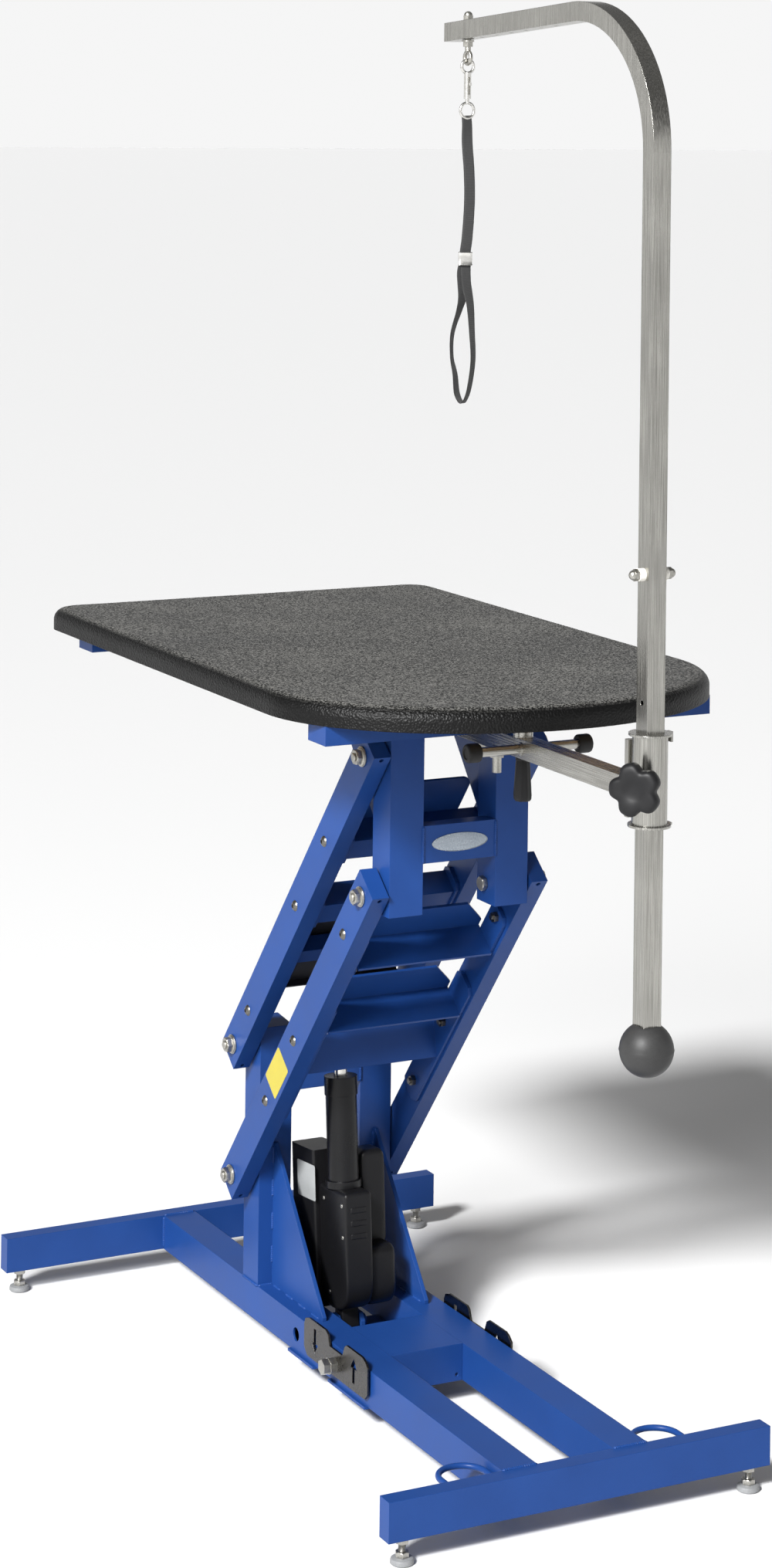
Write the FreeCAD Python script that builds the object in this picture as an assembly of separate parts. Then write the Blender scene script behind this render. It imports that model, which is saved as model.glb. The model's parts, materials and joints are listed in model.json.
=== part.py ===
import FreeCAD, Part
import math
import os

from FreeCAD import Vector as V

os.makedirs("parts", exist_ok=True)

# Grooming table with a powered Z lift. All sizes are millimetres.
# Layout axes: X runs across the table, Y runs from the rounded end (0 at the
# base's front face) to the square end, Z is up from the floor.

# ---- where the origin sits: the middle of the table's footprint, on the floor
ORIGIN_Y = 459.6

# ---- sheet, tube and bar stock
TUBE = 50.8            # side of the two-inch square tube
TUBE_THIN = 25.4       # thin side of the two-by-one tube
WALL = 3.0             # wall of the blue steel tubes
TAB_T = 6.0            # thickness of the side tabs between the links
SHEET = 3.0            # guard plates and covers

# ---- base
FLOOR_GAP = 32.0       # floor to the underside of the base tubes
BASE_TOP = FLOOR_GAP + TUBE
FRONT_HALF = 279.4     # half length of the front cross tube
REAR_HALF = 363.0      # half length of the rear cross tube
REAR_Y = 1090.4        # front face of the rear cross tube
RAIL_IN = 55.85        # inner face of each base rail and post
RAIL_OUT = RAIL_IN + TUBE
RAIL_MID = RAIL_IN + TUBE / 2

# ---- lower posts
POST_Y = 751.0         # front face of the lower posts
POST_SLOPE = 5.0       # rise of the cap from front to back
LOW_BAR_Z = 359.0      # underside of the bar between the lower posts
LOW_BAR_H = TUBE
GUSSET_TALL = 205.0
GUSSET_REACH = 168.0

# ---- tie-down loops beside the rails
TIE_ROD_R = 4.0
TIE_BEND_R = 32.0      # rod's centre round the bend

# ---- lift linkage
LINK_LEN = 635.0       # pivot to pivot
LINK_ANGLE = 50.5      # above horizontal as drawn, its highest setting
LINK_T = 25.4          # thickness across the table
LINK_W = 50.8          # depth of the link
LINK_END = 25.4        # pivot to the cut end
LINK_GAP = 3.2         # thrust washer between post and link
PIVOT_Y = 786.0        # both lower pivots
PIVOT_LOW_Z = 238.4    # lower link's pivot on the base
PIVOT_RISE = 188.6     # from the lower link's pivot to the upper link's
BOLT_R = 6.0           # twelve millimetre pivot bolts
RUN = 0.08             # radial running clearance
LINK_IN = RAIL_OUT + LINK_GAP
LINK_OUT = LINK_IN + LINK_T
PIVOT_UP_Z = PIVOT_LOW_Z + PIVOT_RISE
POST_TOP = PIVOT_UP_Z + 28.0       # top of the lower posts at their front
COS_L = math.cos(math.radians(LINK_ANGLE))
SIN_L = math.sin(math.radians(LINK_ANGLE))
TOP_Y = PIVOT_Y - LINK_LEN * COS_L
TOP_DZ = LINK_LEN * SIN_L
LINK_TOP_Z = PIVOT_LOW_Z + TOP_DZ
SCREW_R = 4.0          # M8 button screws through the links
UPPER_SCREWS = (79.0, 317.0, 457.0)
LOWER_SCREWS = (177.0, 316.5, 554.0)
BRACE_A = 505.0        # across leg of the higher angle brace
BRACE_B = 364.0        # across leg of the lower angle brace
BRACE_T = 4.0
CROSS_S = 263.0        # cross tube between the lower links, along the link
CROSS_N = 10.0         # and above the link's middle line
CROSS_LEAN = 37.9      # turned from the link so it stands nearly upright

# ---- upper frame and table frame
FRAME_Z = LINK_TOP_Z + 249.218     # underside of the frame under the top
UP_POST_Y = TOP_Y - 29.09          # front face of the upper posts
UP_POST_BOTTOM = LINK_TOP_Z - 26.382
UP_BAR_Z = LINK_TOP_Z + 42.618     # bar between the upper posts
TABLE_FRONT_Y = UP_POST_Y - 171.0  # front face of the table's front cross tube
TABLE_REAR_Y = UP_POST_Y + 612.0   # front face of the table's rear cross tube

# ---- tabletop
TOP_Z = FRAME_Z + 56.4
TOP_T = TOP_Z - (FRAME_Z + TUBE_THIN)
TOP_HALF = 322.0
TABLE_TUBE_HALF = TOP_HALF - 32.0
TOP_BACK_Y = UP_POST_Y + 723.0
TOP_FRONT_Y = UP_POST_Y - 314.0
TOP_NOSE = 255.0       # length of the rounded end
TOP_CORNER = 45.0
TOP_ROLL = 17.0        # radius of the rolled edge
COVER_T = 5.0          # cushioned cover over the board
BOARD_INSET = 14.0     # cover's rolled edge beyond the board

# ---- support arm, sleeve and mast
BAR = 25.4             # side of the stainless square tube
BAR_WALL = 2.0
ARM_TOP = FRAME_Z - 9.1
ARM_BACK_Y = UP_POST_Y - 7.0
ARM_PIVOT_Y = UP_POST_Y - 101.0
CLAMP_Y = UP_POST_Y - 171.0
BOSS_GAP = 1.5         # boss to the frame with the clamp slack
CROSS_BAR_Y = UP_POST_Y - 185.0
CROSS_BAR_R = 6.5
CROSS_BAR_HALF = 74.0
CAP_R = 12.5
CAP_LEN = 19.0
MAST_Y = UP_POST_Y - 487.0
SLEEVE_WALL = 3.2
SLEEVE_GAP = 1.04      # mast's corners to the sleeve's inside
SLEEVE_R = BAR * math.sqrt(0.5) + SLEEVE_GAP + SLEEVE_WALL
SLEEVE_Z0 = ARM_TOP - 51.5
SLEEVE_Z1 = ARM_TOP + 57.5
FLANGE_R = SLEEVE_R + 4.8
FLANGE_T = 3.0
MAST_FIT = 0.2         # clearance on each side of the mast in the flanges
KNOB_DEG = 50.0        # knob's direction, from the front towards the left
KNOB_Z = ARM_TOP - 0.5
KNOB_R = 32.0
KNOB_OUT = SLEEVE_R + 21.8   # mast's centre to the back of the knob's head
KNOB_TIP = BAR * math.sqrt(0.5) + 0.44
MAST_BOTTOM = ARM_TOP - 322.5
BEND_R = 177.3         # centreline radius of the bend
BEND_Z = ARM_TOP + 775.0
DROOP = 3.9            # degrees the top arm falls towards its end
MAST_ARM_END_Y = UP_POST_Y + 50.0
BALL_R = 34.0
BALL_Z = ARM_TOP - 329.0
STOP_Z = ARM_TOP + 255.5
EYE_Y = UP_POST_Y + 4.5
ARM_HOLE_STEP = 40.0

# ---- eye bolt, bolt snap and noose
EYE_Z = BEND_Z + 118.5
EYE_R = 8.2            # eye's wire centre from the eye's centre
EYE_WIRE = 2.9
SNAP_RING_R = 9.0
SNAP_WIRE = 2.2
SNAP_FOOT = EYE_Z - 56.0           # lower end of the snap's barrel
SWIVEL_LOW = EYE_Z - 82.5          # the swivel ring's lowest wire centre
SWIVEL_R = 10.5
SWIVEL_WIRE = 2.0
STRAP_W = 14.0
STRAP_T = 1.6
NOOSE_LOCK_Z = EYE_Z - 285.0
NOOSE_LOW = EYE_Z - 471.0
NOOSE_HALF = 19.0      # half the loop's opening
STRAP_TURN = -27.0     # the strap's flat, turned about the vertical
LOOP_TURN = 40.0       # the loop's flat below the lock

# ---- actuator
ACT_X = -20.0
ACT_Y = 634.0
ACT_Z = 56.0
ACT_PIN_R = 6.0
ACT_TOP_S = 168.0      # along the upper links from their lower pivot
ACT_TUBE_R = 22.5
ACT_TUBE_TOP = 345.0   # from the base pin along the actuator
ROD_R = 9.5
ROD_FOOT = 156.0       # rod's lower end as drawn; it slides 120 down inside the tube
TOP_WINDOW_R = 13.5    # lost-motion window in the lifting ears
TOP_PIN_R = 5.0

# ---- pedals and feet
PEDAL_Y = 486.0
PEDAL_Z = 60.0
PEDAL_T = 3.0
PEDAL_GAP = 3.0
FOOT_INSET = 25.4
PAD_R = 15.0
PAD_H = 8.0
STUD_R = 5.0


def box(x0, x1, y0, y1, z0, z1):
    return Part.makeBox(x1 - x0, y1 - y0, z1 - z0, V(x0, y0, z0))


def cyl_x(r, x0, x1, y, z):
    return Part.makeCylinder(r, x1 - x0, V(x0, y, z), V(1, 0, 0))


def cyl_z(r, x, y, z0, z1):
    return Part.makeCylinder(r, z1 - z0, V(x, y, z0), V(0, 0, 1))


def cyl_y(r, x, z, y0, y1):
    return Part.makeCylinder(r, y1 - y0, V(x, y0, z), V(0, 1, 0))


def union(shapes):
    whole = shapes[0].copy()
    for one in shapes[1:]:
        whole = whole.fuse(one)
    return whole.removeSplitter()


def mirrored(shape):
    return shape.mirror(V(0, 0, 0), V(1, 0, 0))


def write(name, shapes):
    moved = [s.translated(V(0, -ORIGIN_Y, 0)) for s in shapes]
    solids = []
    for one in moved:
        solids.extend(one.Solids)
    Part.makeCompound(solids).exportStep("parts/" + name + ".step")


def hollow(x0, x1, y0, y1, z0, z1, wall, open_axis=None):
    """A rectangular tube; the ends along open_axis are left open."""
    ix0, ix1 = x0 + wall, x1 - wall
    iy0, iy1 = y0 + wall, y1 - wall
    iz0, iz1 = z0 + wall, z1 - wall
    if open_axis == "x":
        ix0, ix1 = x0 - 1, x1 + 1
    if open_axis == "y":
        iy0, iy1 = y0 - 1, y1 + 1
    if open_axis == "z":
        iz0, iz1 = z0 - 1, z1 + 1
    return box(x0, x1, y0, y1, z0, z1).cut(box(ix0, ix1, iy0, iy1, iz0, iz1))


def plate_yz(points, x0, x1):
    """A flat plate standing in the Y-Z plane, from its outline."""
    wire = Part.makePolygon([V(x0, y, z) for y, z in points] + [V(x0, *points[0])])
    return Part.Face(wire).extrude(V(x1 - x0, 0, 0))


def hexagon_x(across, x0, x1, y, z):
    r = across / 2 / math.cos(math.pi / 6)
    pts = []
    for k in range(6):
        a = math.radians(60 * k + 30)
        pts.append((y + r * math.cos(a), z + r * math.sin(a)))
    return plate_yz(pts, x0, x1)


def hexagon_z(across, x, y, z0, z1):
    r = across / 2 / math.cos(math.pi / 6)
    pts = []
    for k in range(6):
        a = math.radians(60 * k)
        pts.append(V(x + r * math.cos(a), y + r * math.sin(a), z0))
    return Part.Face(Part.makePolygon(pts + [pts[0]])).extrude(V(0, 0, z1 - z0))


def on_link(shape, pivot_z):
    """Carries a piece drawn on a level link, pivot at zero, to its place."""
    placed = shape.copy()
    placed.rotate(V(0, 0, 0), V(1, 0, 0), -LINK_ANGLE)
    placed.translate(V(0, PIVOT_Y, pivot_z))
    return placed


def link_point(s, n, pivot_z):
    y = PIVOT_Y - s * COS_L + n * SIN_L
    z = pivot_z + s * SIN_L + n * COS_L
    return y, z


# ---------------------------------------------------------------- base frame
def base_frame():
    drain = cyl_z(4.0, FRONT_HALF - 60, TUBE_THIN / 2, FLOOR_GAP - 1, FLOOR_GAP + 5)
    front = hollow(-FRONT_HALF, FRONT_HALF, 0, TUBE_THIN, FLOOR_GAP, BASE_TOP, WALL)
    front = front.cut(drain)
    foot_y = TUBE_THIN / 2
    for side in (-1, 1):
        x = side * (FRONT_HALF - FOOT_INSET)
        front = front.cut(cyl_z(STUD_R + RUN, x, foot_y, FLOOR_GAP - 1, FLOOR_GAP + 6))
    write("front_cross_tube", [front])

    rear_y1 = REAR_Y + TUBE_THIN
    rear = hollow(-REAR_HALF, REAR_HALF, REAR_Y, rear_y1, FLOOR_GAP, BASE_TOP, WALL)
    for side in (-1, 1):
        x = side * (REAR_HALF - FOOT_INSET)
        y = REAR_Y + TUBE_THIN / 2
        rear = rear.cut(cyl_z(STUD_R + RUN, x, y, FLOOR_GAP - 1, FLOOR_GAP + 6))
    write("rear_cross_tube", [rear])

    rail = hollow(-RAIL_OUT, -RAIL_IN, TUBE_THIN, REAR_Y, FLOOR_GAP, BASE_TOP, WALL, "y")
    rail = rail.cut(cyl_x(6.0 + RUN, -RAIL_OUT - 1, -RAIL_IN + 1, PEDAL_Y, PEDAL_Z))
    rail = rail.cut(cyl_x(9.5, -RAIL_OUT - 1, -RAIL_OUT + 5, 622.0, ACT_Z))
    plates = []
    for y0, y1 in ((400.0, 512.0), (560.0, 640.0)):
        plates.append(box(-RAIL_OUT - 4, -RAIL_OUT + 26, y0, y1, FLOOR_GAP - 4, FLOOR_GAP))
    rail = union([rail] + plates)
    write("base_rails", [rail, mirrored(rail)])


def lower_post():
    y1 = POST_Y + TUBE
    cap = 4.0
    outer = [(POST_Y, BASE_TOP), (y1, BASE_TOP)]
    outer += [(y1, POST_TOP + POST_SLOPE), (POST_Y, POST_TOP)]
    inner = [(POST_Y + WALL, BASE_TOP - 1), (y1 - WALL, BASE_TOP - 1)]
    inner += [(y1 - WALL, POST_TOP + POST_SLOPE - cap), (POST_Y + WALL, POST_TOP - cap)]
    post = plate_yz(outer, -RAIL_OUT, -RAIL_IN)
    post = post.cut(plate_yz(inner, -RAIL_OUT + WALL, -RAIL_IN - WALL))
    for z in (PIVOT_LOW_Z, PIVOT_UP_Z):
        post = post.cut(cyl_x(BOLT_R + RUN, -RAIL_OUT - 1, -RAIL_IN + 1, PIVOT_Y, z))
    return post


def lower_posts():
    post = lower_post()
    write("lower_posts", [post, mirrored(post)])

    tip = POST_Y - GUSSET_REACH
    outline = [(POST_Y, BASE_TOP), (POST_Y, BASE_TOP + GUSSET_TALL)]
    outline += [(POST_Y - 4, BASE_TOP + GUSSET_TALL), (tip, BASE_TOP + 5), (tip, BASE_TOP)]
    gusset = plate_yz(outline, -RAIL_MID - 3, -RAIL_MID + 3)
    write("lower_gussets", [gusset, mirrored(gusset)])

    z1 = LOW_BAR_Z + LOW_BAR_H
    bar = hollow(-RAIL_IN, RAIL_IN, POST_Y, POST_Y + 25.4, LOW_BAR_Z, z1, WALL, "x")
    write("lower_cross_member", [bar])


def switch_cover():
    """Folded cover over the foot switch, between the rails."""
    y0, y1 = 428.0, 548.0
    top = box(-RAIL_IN, RAIL_IN, y0, y1, BASE_TOP - SHEET, BASE_TOP)
    face = box(-RAIL_IN, RAIL_IN, y0, y0 + SHEET, FLOOR_GAP, BASE_TOP)
    face = face.cut(cyl_y(2.5, RAIL_IN - 9, FLOOR_GAP + 9, y0 - 1, y0 + SHEET + 1))
    cover = union([top, face])
    write("switch_cover", [cover])


def actuator_mount():
    floor = box(-RAIL_IN, RAIL_IN, 585, 690, FLOOR_GAP, FLOOR_GAP + 5)
    lip = box(-RAIL_IN, RAIL_IN, 585, 590, FLOOR_GAP, FLOOR_GAP + 14)
    parts = [floor, lip]
    for x0 in (ACT_X - 21, ACT_X + 15):
        ear = [(ACT_Y - 16, FLOOR_GAP + 5), (ACT_Y + 16, FLOOR_GAP + 5)]
        ear += [(ACT_Y + 16, ACT_Z + 4), (ACT_Y + 8, ACT_Z + 14)]
        ear += [(ACT_Y - 8, ACT_Z + 14), (ACT_Y - 16, ACT_Z + 4)]
        parts.append(plate_yz(ear, x0, x0 + 6))
    mount = union(parts)
    mount = mount.cut(cyl_x(ACT_PIN_R + RUN, ACT_X - 40, ACT_X + 40, ACT_Y, ACT_Z))
    pin = cyl_x(ACT_PIN_R, ACT_X - 24, ACT_X + 24, ACT_Y, ACT_Z)
    head = cyl_x(9.0, ACT_X - 28, ACT_X - 24, ACT_Y, ACT_Z)
    clip = cyl_x(9.0, ACT_X + 24, ACT_X + 27, ACT_Y, ACT_Z)
    write("actuator_mount", [mount, union([pin, head, clip])])


def tie_down_loops():
    """A rod bent into a U beside each rail, legs welded to the front tube."""
    z = BASE_TOP - 13
    x_near = -RAIL_OUT - TIE_ROD_R
    x_mid = x_near - TIE_BEND_R
    y_bend = 60.0
    near = cyl_y(TIE_ROD_R, x_near, z, TUBE_THIN, y_bend)
    far = cyl_y(TIE_ROD_R, x_near - 2 * TIE_BEND_R, z, TUBE_THIN, y_bend)
    ring = Part.makeTorus(TIE_BEND_R, TIE_ROD_R, V(x_mid, y_bend, z), V(0, 0, 1))
    half = box(x_mid - 60, x_mid + 60, y_bend, y_bend + 60, z - 20, z + 20)
    loop = union([near, far, ring.common(half)])
    write("tie_down_loops", [loop, mirrored(loop)])


# -------------------------------------------------------------------- pedals
def pedals():
    x1 = -RAIL_OUT - PEDAL_GAP
    x0 = x1 - PEDAL_T
    top, dip, low = 98.0, 80.0, 44.0
    pts = [(388, 52), (388, 88), (396, 95), (404, top), (452, top), (458, 94)]
    pts += [(464, dip), (504, dip), (510, 94), (516, top), (568, top), (580, 94)]
    pts += [(584, 86), (584, 54), (574, low), (396, low)]
    plate = plate_yz(pts, x0, x1)
    down = [(546, 88), (553, 88), (553, 68), (559, 68), (549.5, 54), (540, 68), (546, 68)]
    up = [(426, 54), (433, 54), (433, 74), (439, 74), (429.5, 88), (420, 74), (426, 74)]
    for arrow in (down, up):
        plate = plate.cut(plate_yz(arrow, x0 - 1, x1 + 1))
    plate = plate.cut(cyl_x(6.0, x0 - 1, x1 + 1, PEDAL_Y, PEDAL_Z))
    write("pedals", [plate, mirrored(plate)])

    shaft = cyl_x(6.0, -132.0, 132.0, PEDAL_Y, PEDAL_Z)
    lever = box(-5, 5, PEDAL_Y - 22, PEDAL_Y + 22, PEDAL_Z - 5, PEDAL_Z + 3)
    shaft = union([shaft, lever])
    nuts = []
    for a, b in ((x0 - 9.5, x0), (x0 - 21.0, x0 - 11.0)):
        nuts.append(hexagon_x(19.0, a, b, PEDAL_Y, PEDAL_Z))
    washer = cyl_x(11.0, x0 - 11.0, x0 - 9.5, PEDAL_Y, PEDAL_Z)
    stack = union(nuts + [washer])
    inner = cyl_x(9.0, x1, -RAIL_OUT - 0.3, PEDAL_Y, PEDAL_Z)
    whole = union([shaft, stack, mirrored(stack), inner, mirrored(inner)])
    write("pedal_shaft", [whole])


# --------------------------------------------------------------------- links
def link_tube(screws):
    y0, y1 = -(LINK_LEN + LINK_END), LINK_END
    half = LINK_W / 2
    tube = hollow(-LINK_OUT, -LINK_IN, y0, y1, -half, half, WALL)
    drain = cyl_z(3.2, -LINK_OUT + LINK_T / 2, y0 + 6.2, -half - 1, -half + 6)
    low_drain = cyl_z(3.2, -LINK_OUT + LINK_T / 2, y1 - 6.2, -half - 1, -half + 6)
    tube = tube.cut(drain).cut(low_drain)
    for s in (0.0, LINK_LEN):
        bush = cyl_x(10.0, -LINK_OUT, -LINK_IN, -s, 0)
        tube = tube.fuse(bush)
        tube = tube.cut(cyl_x(BOLT_R + RUN, -LINK_OUT - 1, -LINK_IN + 1, -s, 0))
    for s in screws:
        tube = tube.cut(cyl_x(SCREW_R + RUN, -LINK_OUT - 1, -LINK_IN + 1, -s, 0))
    return tube


def link_screws(screws, tabbed):
    """Button heads outside, shanks through, nuts on the inside."""
    out = []
    for s in screws:
        face = -LINK_IN + (TAB_T if s in tabbed else 0)
        head = Part.makeSphere(9.0, V(-LINK_OUT + 4.4, -s, 0))
        keep = box(-LINK_OUT - 8, -LINK_OUT, -s - 12, -s + 12, -12, 12)
        head = head.common(keep)
        socket = hexagon_x(5.0, -LINK_OUT - 8, -LINK_OUT - 2, -s, 0)
        shank = cyl_x(SCREW_R, -LINK_OUT - 1, face + 9.5, -s, 0)
        nut = hexagon_x(13.0, face, face + 6.5, -s, 0)
        screw = union([head, shank, nut]).cut(socket)
        out.extend([screw, mirrored(screw)])
    return out


def tab(s0, s1, half, screws):
    c = 8.0
    pts = [(-s0, -half + c), (-s0, half - c), (-s0 - c, half), (-s1 + c, half)]
    pts += [(-s1, half - c), (-s1, -half + c), (-s1 + c, -half), (-s0 - c, -half)]
    plate = plate_yz(pts, -LINK_IN, -LINK_IN + TAB_T)
    for s in screws:
        if s0 < s < s1:
            plate = plate.cut(cyl_x(SCREW_R + RUN, -LINK_IN - 1, -LINK_IN + 9, -s, 0))
    return plate


def angle_brace(s):
    """An angle across the links: one leg square to them, one along the back."""
    x = LINK_IN - TAB_T
    across = box(-x, x, -s, -s + BRACE_T, -25.0, 25.0)
    along = box(-x, x, -s - 50.0, -s + BRACE_T, 25.0, 25.0 + BRACE_T)
    for side in (-1, 1):
        corner = [V(side * x, -s - 50.0, 24), V(side * x, -s - 12.0, 24)]
        corner.append(V(side * (x - 34.0), -s - 50.0, 24))
        wire = Part.makePolygon(corner + [corner[0]])
        along = along.cut(Part.Face(wire).extrude(V(0, 0, 8)))
    return union([across, along])


def links():
    upper = link_tube(UPPER_SCREWS)
    lower = link_tube(LOWER_SCREWS)
    write("left_lower_link", [on_link(lower, PIVOT_LOW_Z)])
    write("right_lower_link", [on_link(mirrored(lower), PIVOT_LOW_Z)])
    write("left_upper_link", [on_link(upper, PIVOT_UP_Z)])
    write("right_upper_link", [on_link(mirrored(upper), PIVOT_UP_Z)])

    x = LINK_IN - TAB_T
    tabs = [tab(150.0, 412.0, 22.0, LOWER_SCREWS)]
    tabs.append(mirrored(tabs[0]))
    tube = hollow(-x, x, -15.9, 15.9, -25.4, 25.4, WALL, "x")
    tube.rotate(V(0, 0, 0), V(1, 0, 0), CROSS_LEAN)
    tube.translate(V(0, -CROSS_S, CROSS_N))
    brace = angle_brace(BRACE_B)
    write("lower_link_frame", [on_link(union(tabs + [tube, brace]), PIVOT_LOW_Z)])

    tabs = [tab(490.0, 566.0, 20.0, LOWER_SCREWS)]
    tabs.append(mirrored(tabs[0]))
    brace = union(tabs + [angle_brace(BRACE_A)])
    write("lower_link_brace", [on_link(brace, PIVOT_LOW_Z)])
    screws = link_screws(LOWER_SCREWS, LOWER_SCREWS)
    write("lower_link_screws", [on_link(s, PIVOT_LOW_Z) for s in screws])

    tabs = [tab(285.0, 349.0, 22.0, UPPER_SCREWS), tab(425.0, 489.0, 22.0, UPPER_SCREWS)]
    tabs += [mirrored(t) for t in tabs]
    tubes = []
    for s in (317.0, 457.0):
        one = hollow(-x, x, -s - 19.05, -s + 19.05, -19.05, 19.05, WALL, "x")
        for side in (-1, 1):
            x0 = side * (x + 6.0)
            x1 = side * (x - 12.0)
            one = one.cut(cyl_x(9.0, min(x0, x1), max(x0, x1), -s, 0))
        tubes.append(one)
    cover_x = 76.0
    plate = box(-cover_x, cover_x, -544.0, -400.0, 19.05, 19.05 + SHEET)
    edges = [e for e in plate.Edges if abs(e.Vertexes[0].Y + 544.0) < 0.1]
    edges = [e for e in edges if abs(e.Vertexes[1].Y + 544.0) < 0.1]
    edges = [e for e in edges if abs(e.Vertexes[0].Z - e.Vertexes[1].Z) > 1.0]
    plate = plate.makeFillet(18.0, edges)
    whole = union(tabs + tubes + [plate])
    write("upper_link_frame", [on_link(whole, PIVOT_UP_Z)])
    guard = box(-x, x, -306.0, -106.0, 22.4, 22.4 + SHEET)
    fold = box(-x, x, -106.0 - SHEET, -106.0, 12.0, 22.4 + SHEET)
    write("upper_guard_plate", [on_link(union([guard, fold]), PIVOT_UP_Z)])
    screws = link_screws(UPPER_SCREWS, UPPER_SCREWS[1:])
    write("upper_link_screws", [on_link(s, PIVOT_UP_Z) for s in screws])

    bar = hollow(-x, x, -217.7, -192.3, -7.7, 17.7, WALL, "x")
    ears = []
    for x0 in (ACT_X - 21.0, ACT_X + 13.0):
        pts = [(-146.0, -12.0), (-146.0, 12.0), (-156.0, 20.0), (-205.0, 17.7)]
        pts += [(-205.0, -7.7), (-186.0, -20.0), (-156.0, -20.0)]
        ears.append(plate_yz(pts, x0, x0 + 8.0))
    ends = tab(178.0, 232.0, 18.0, ())
    lifting = union([bar, ends, mirrored(ends)] + ears)
    lifting = lifting.cut(cyl_x(TOP_WINDOW_R, ACT_X - 30, ACT_X + 30, -ACT_TOP_S, 0))
    inner = box(-x - 1, x + 1, -214.7, -195.3, -4.7, 14.7)
    lifting = lifting.cut(inner)
    write("lifting_crossbar", [on_link(lifting, PIVOT_UP_Z)])


def pivot_bolt(y, z):
    """Bolt with its head inside the post and a flange nut outside the link."""
    shank = cyl_x(BOLT_R, -LINK_OUT - 15.0, -RAIL_IN, y, z)
    head = hexagon_x(18.0, -RAIL_IN, -RAIL_IN + 8.0, y, z)
    thrust = cyl_x(12.0, -LINK_IN + 0.15, -RAIL_OUT, y, z)
    washer = cyl_x(13.2, -LINK_OUT - 2.4, -LINK_OUT - 0.15, y, z)
    nut = hexagon_x(19.0, -LINK_OUT - 12.5, -LINK_OUT - 2.4, y, z)
    return union([shank, head, thrust, washer, nut])


def pivots():
    low = [pivot_bolt(PIVOT_Y, PIVOT_LOW_Z), pivot_bolt(PIVOT_Y, PIVOT_UP_Z)]
    write("lower_pivot_bolts", low + [mirrored(b) for b in low])
    high = [pivot_bolt(TOP_Y, PIVOT_LOW_Z + TOP_DZ), pivot_bolt(TOP_Y, PIVOT_UP_Z + TOP_DZ)]
    write("upper_pivot_bolts", high + [mirrored(b) for b in high])


# --------------------------------------------------------------- upper frame
def upper_frame():
    y1 = UP_POST_Y + TUBE
    post = hollow(-RAIL_OUT, -RAIL_IN, UP_POST_Y, y1, UP_POST_BOTTOM, FRAME_Z, WALL, "z")
    foot = box(-RAIL_OUT, -RAIL_IN, UP_POST_Y, y1, UP_POST_BOTTOM, UP_POST_BOTTOM + 3)
    post = post.fuse(foot)
    for z in (PIVOT_LOW_Z + TOP_DZ, PIVOT_UP_Z + TOP_DZ):
        post = post.cut(cyl_x(BOLT_R + RUN, -RAIL_OUT - 1, -RAIL_IN + 1, TOP_Y, z))
    write("upper_posts", [post, mirrored(post)])

    z1 = UP_BAR_Z + TUBE
    bar = hollow(-RAIL_IN, RAIL_IN, UP_POST_Y, UP_POST_Y + 25.4, UP_BAR_Z, z1, WALL, "x")
    write("upper_cross_member", [bar])
    oval = Part.Ellipse(V(0, 0, 0), 43.0, 12.5).toShape()
    badge = Part.Face(Part.Wire([oval])).extrude(V(0, 0, 1.2))
    badge.rotate(V(0, 0, 0), V(1, 0, 0), 90)
    badge.translate(V(0, UP_POST_Y, UP_BAR_Z + TUBE / 2))
    write("name_plate", [badge])

    tip = y1 + GUSSET_REACH
    outline = [(y1, FRAME_Z), (tip, FRAME_Z), (tip, FRAME_Z - 5)]
    outline += [(y1 + 4, FRAME_Z - GUSSET_TALL), (y1, FRAME_Z - GUSSET_TALL)]
    gusset = plate_yz(outline, -RAIL_MID - 3, -RAIL_MID + 3)
    write("upper_gussets", [gusset, mirrored(gusset)])

    z1 = FRAME_Z + TUBE_THIN
    half = TABLE_TUBE_HALF
    y0 = TABLE_FRONT_Y
    front = hollow(-half, half, y0, y0 + TUBE, FRAME_Z, z1, WALL)
    front = front.cut(cyl_z(4.0, 200, y0 + 25, FRAME_Z - 1, FRAME_Z + 5))
    y0 = TABLE_REAR_Y
    rear = hollow(-half, half, y0, y0 + TUBE, FRAME_Z, z1, WALL)
    rear = rear.cut(cyl_z(4.0, 200, y0 + 25, FRAME_Z - 1, FRAME_Z + 5))
    write("table_cross_tubes", [front, rear])
    y0, y1 = TABLE_FRONT_Y + TUBE, TABLE_REAR_Y
    rail = hollow(-RAIL_OUT, -RAIL_IN, y0, y1, FRAME_Z, z1, WALL, "y")
    write("table_rails", [rail, mirrored(rail)])

    plate = box(-RAIL_IN, RAIL_IN, TABLE_FRONT_Y + TUBE, 330.0, FRAME_Z, FRAME_Z + 6.0)
    plate = plate.cut(cyl_z(BOLT_R + RUN, 0, ARM_PIVOT_Y, FRAME_Z - 1, FRAME_Z + 8))
    write("arm_mount_plate", [plate])

    bolt = cyl_z(BOLT_R, 0, ARM_PIVOT_Y, ARM_TOP - 59.5, FRAME_Z + 6.0)
    head = hexagon_z(18.0, 0, ARM_PIVOT_Y, FRAME_Z + 6.0, FRAME_Z + 13.5)
    flange = cyl_z(12.0, 0, ARM_PIVOT_Y, ARM_TOP - BAR - 3.7, ARM_TOP - BAR - 0.2)
    nut = hexagon_z(18.0, 0, ARM_PIVOT_Y, ARM_TOP - BAR - 13.7, ARM_TOP - BAR - 3.7)
    spacer = cyl_z(13.0, 0, ARM_PIVOT_Y, ARM_TOP + 0.2, FRAME_Z)
    write("arm_pivot_bolt", [union([bolt, head, flange, nut, spacer])])


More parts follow.
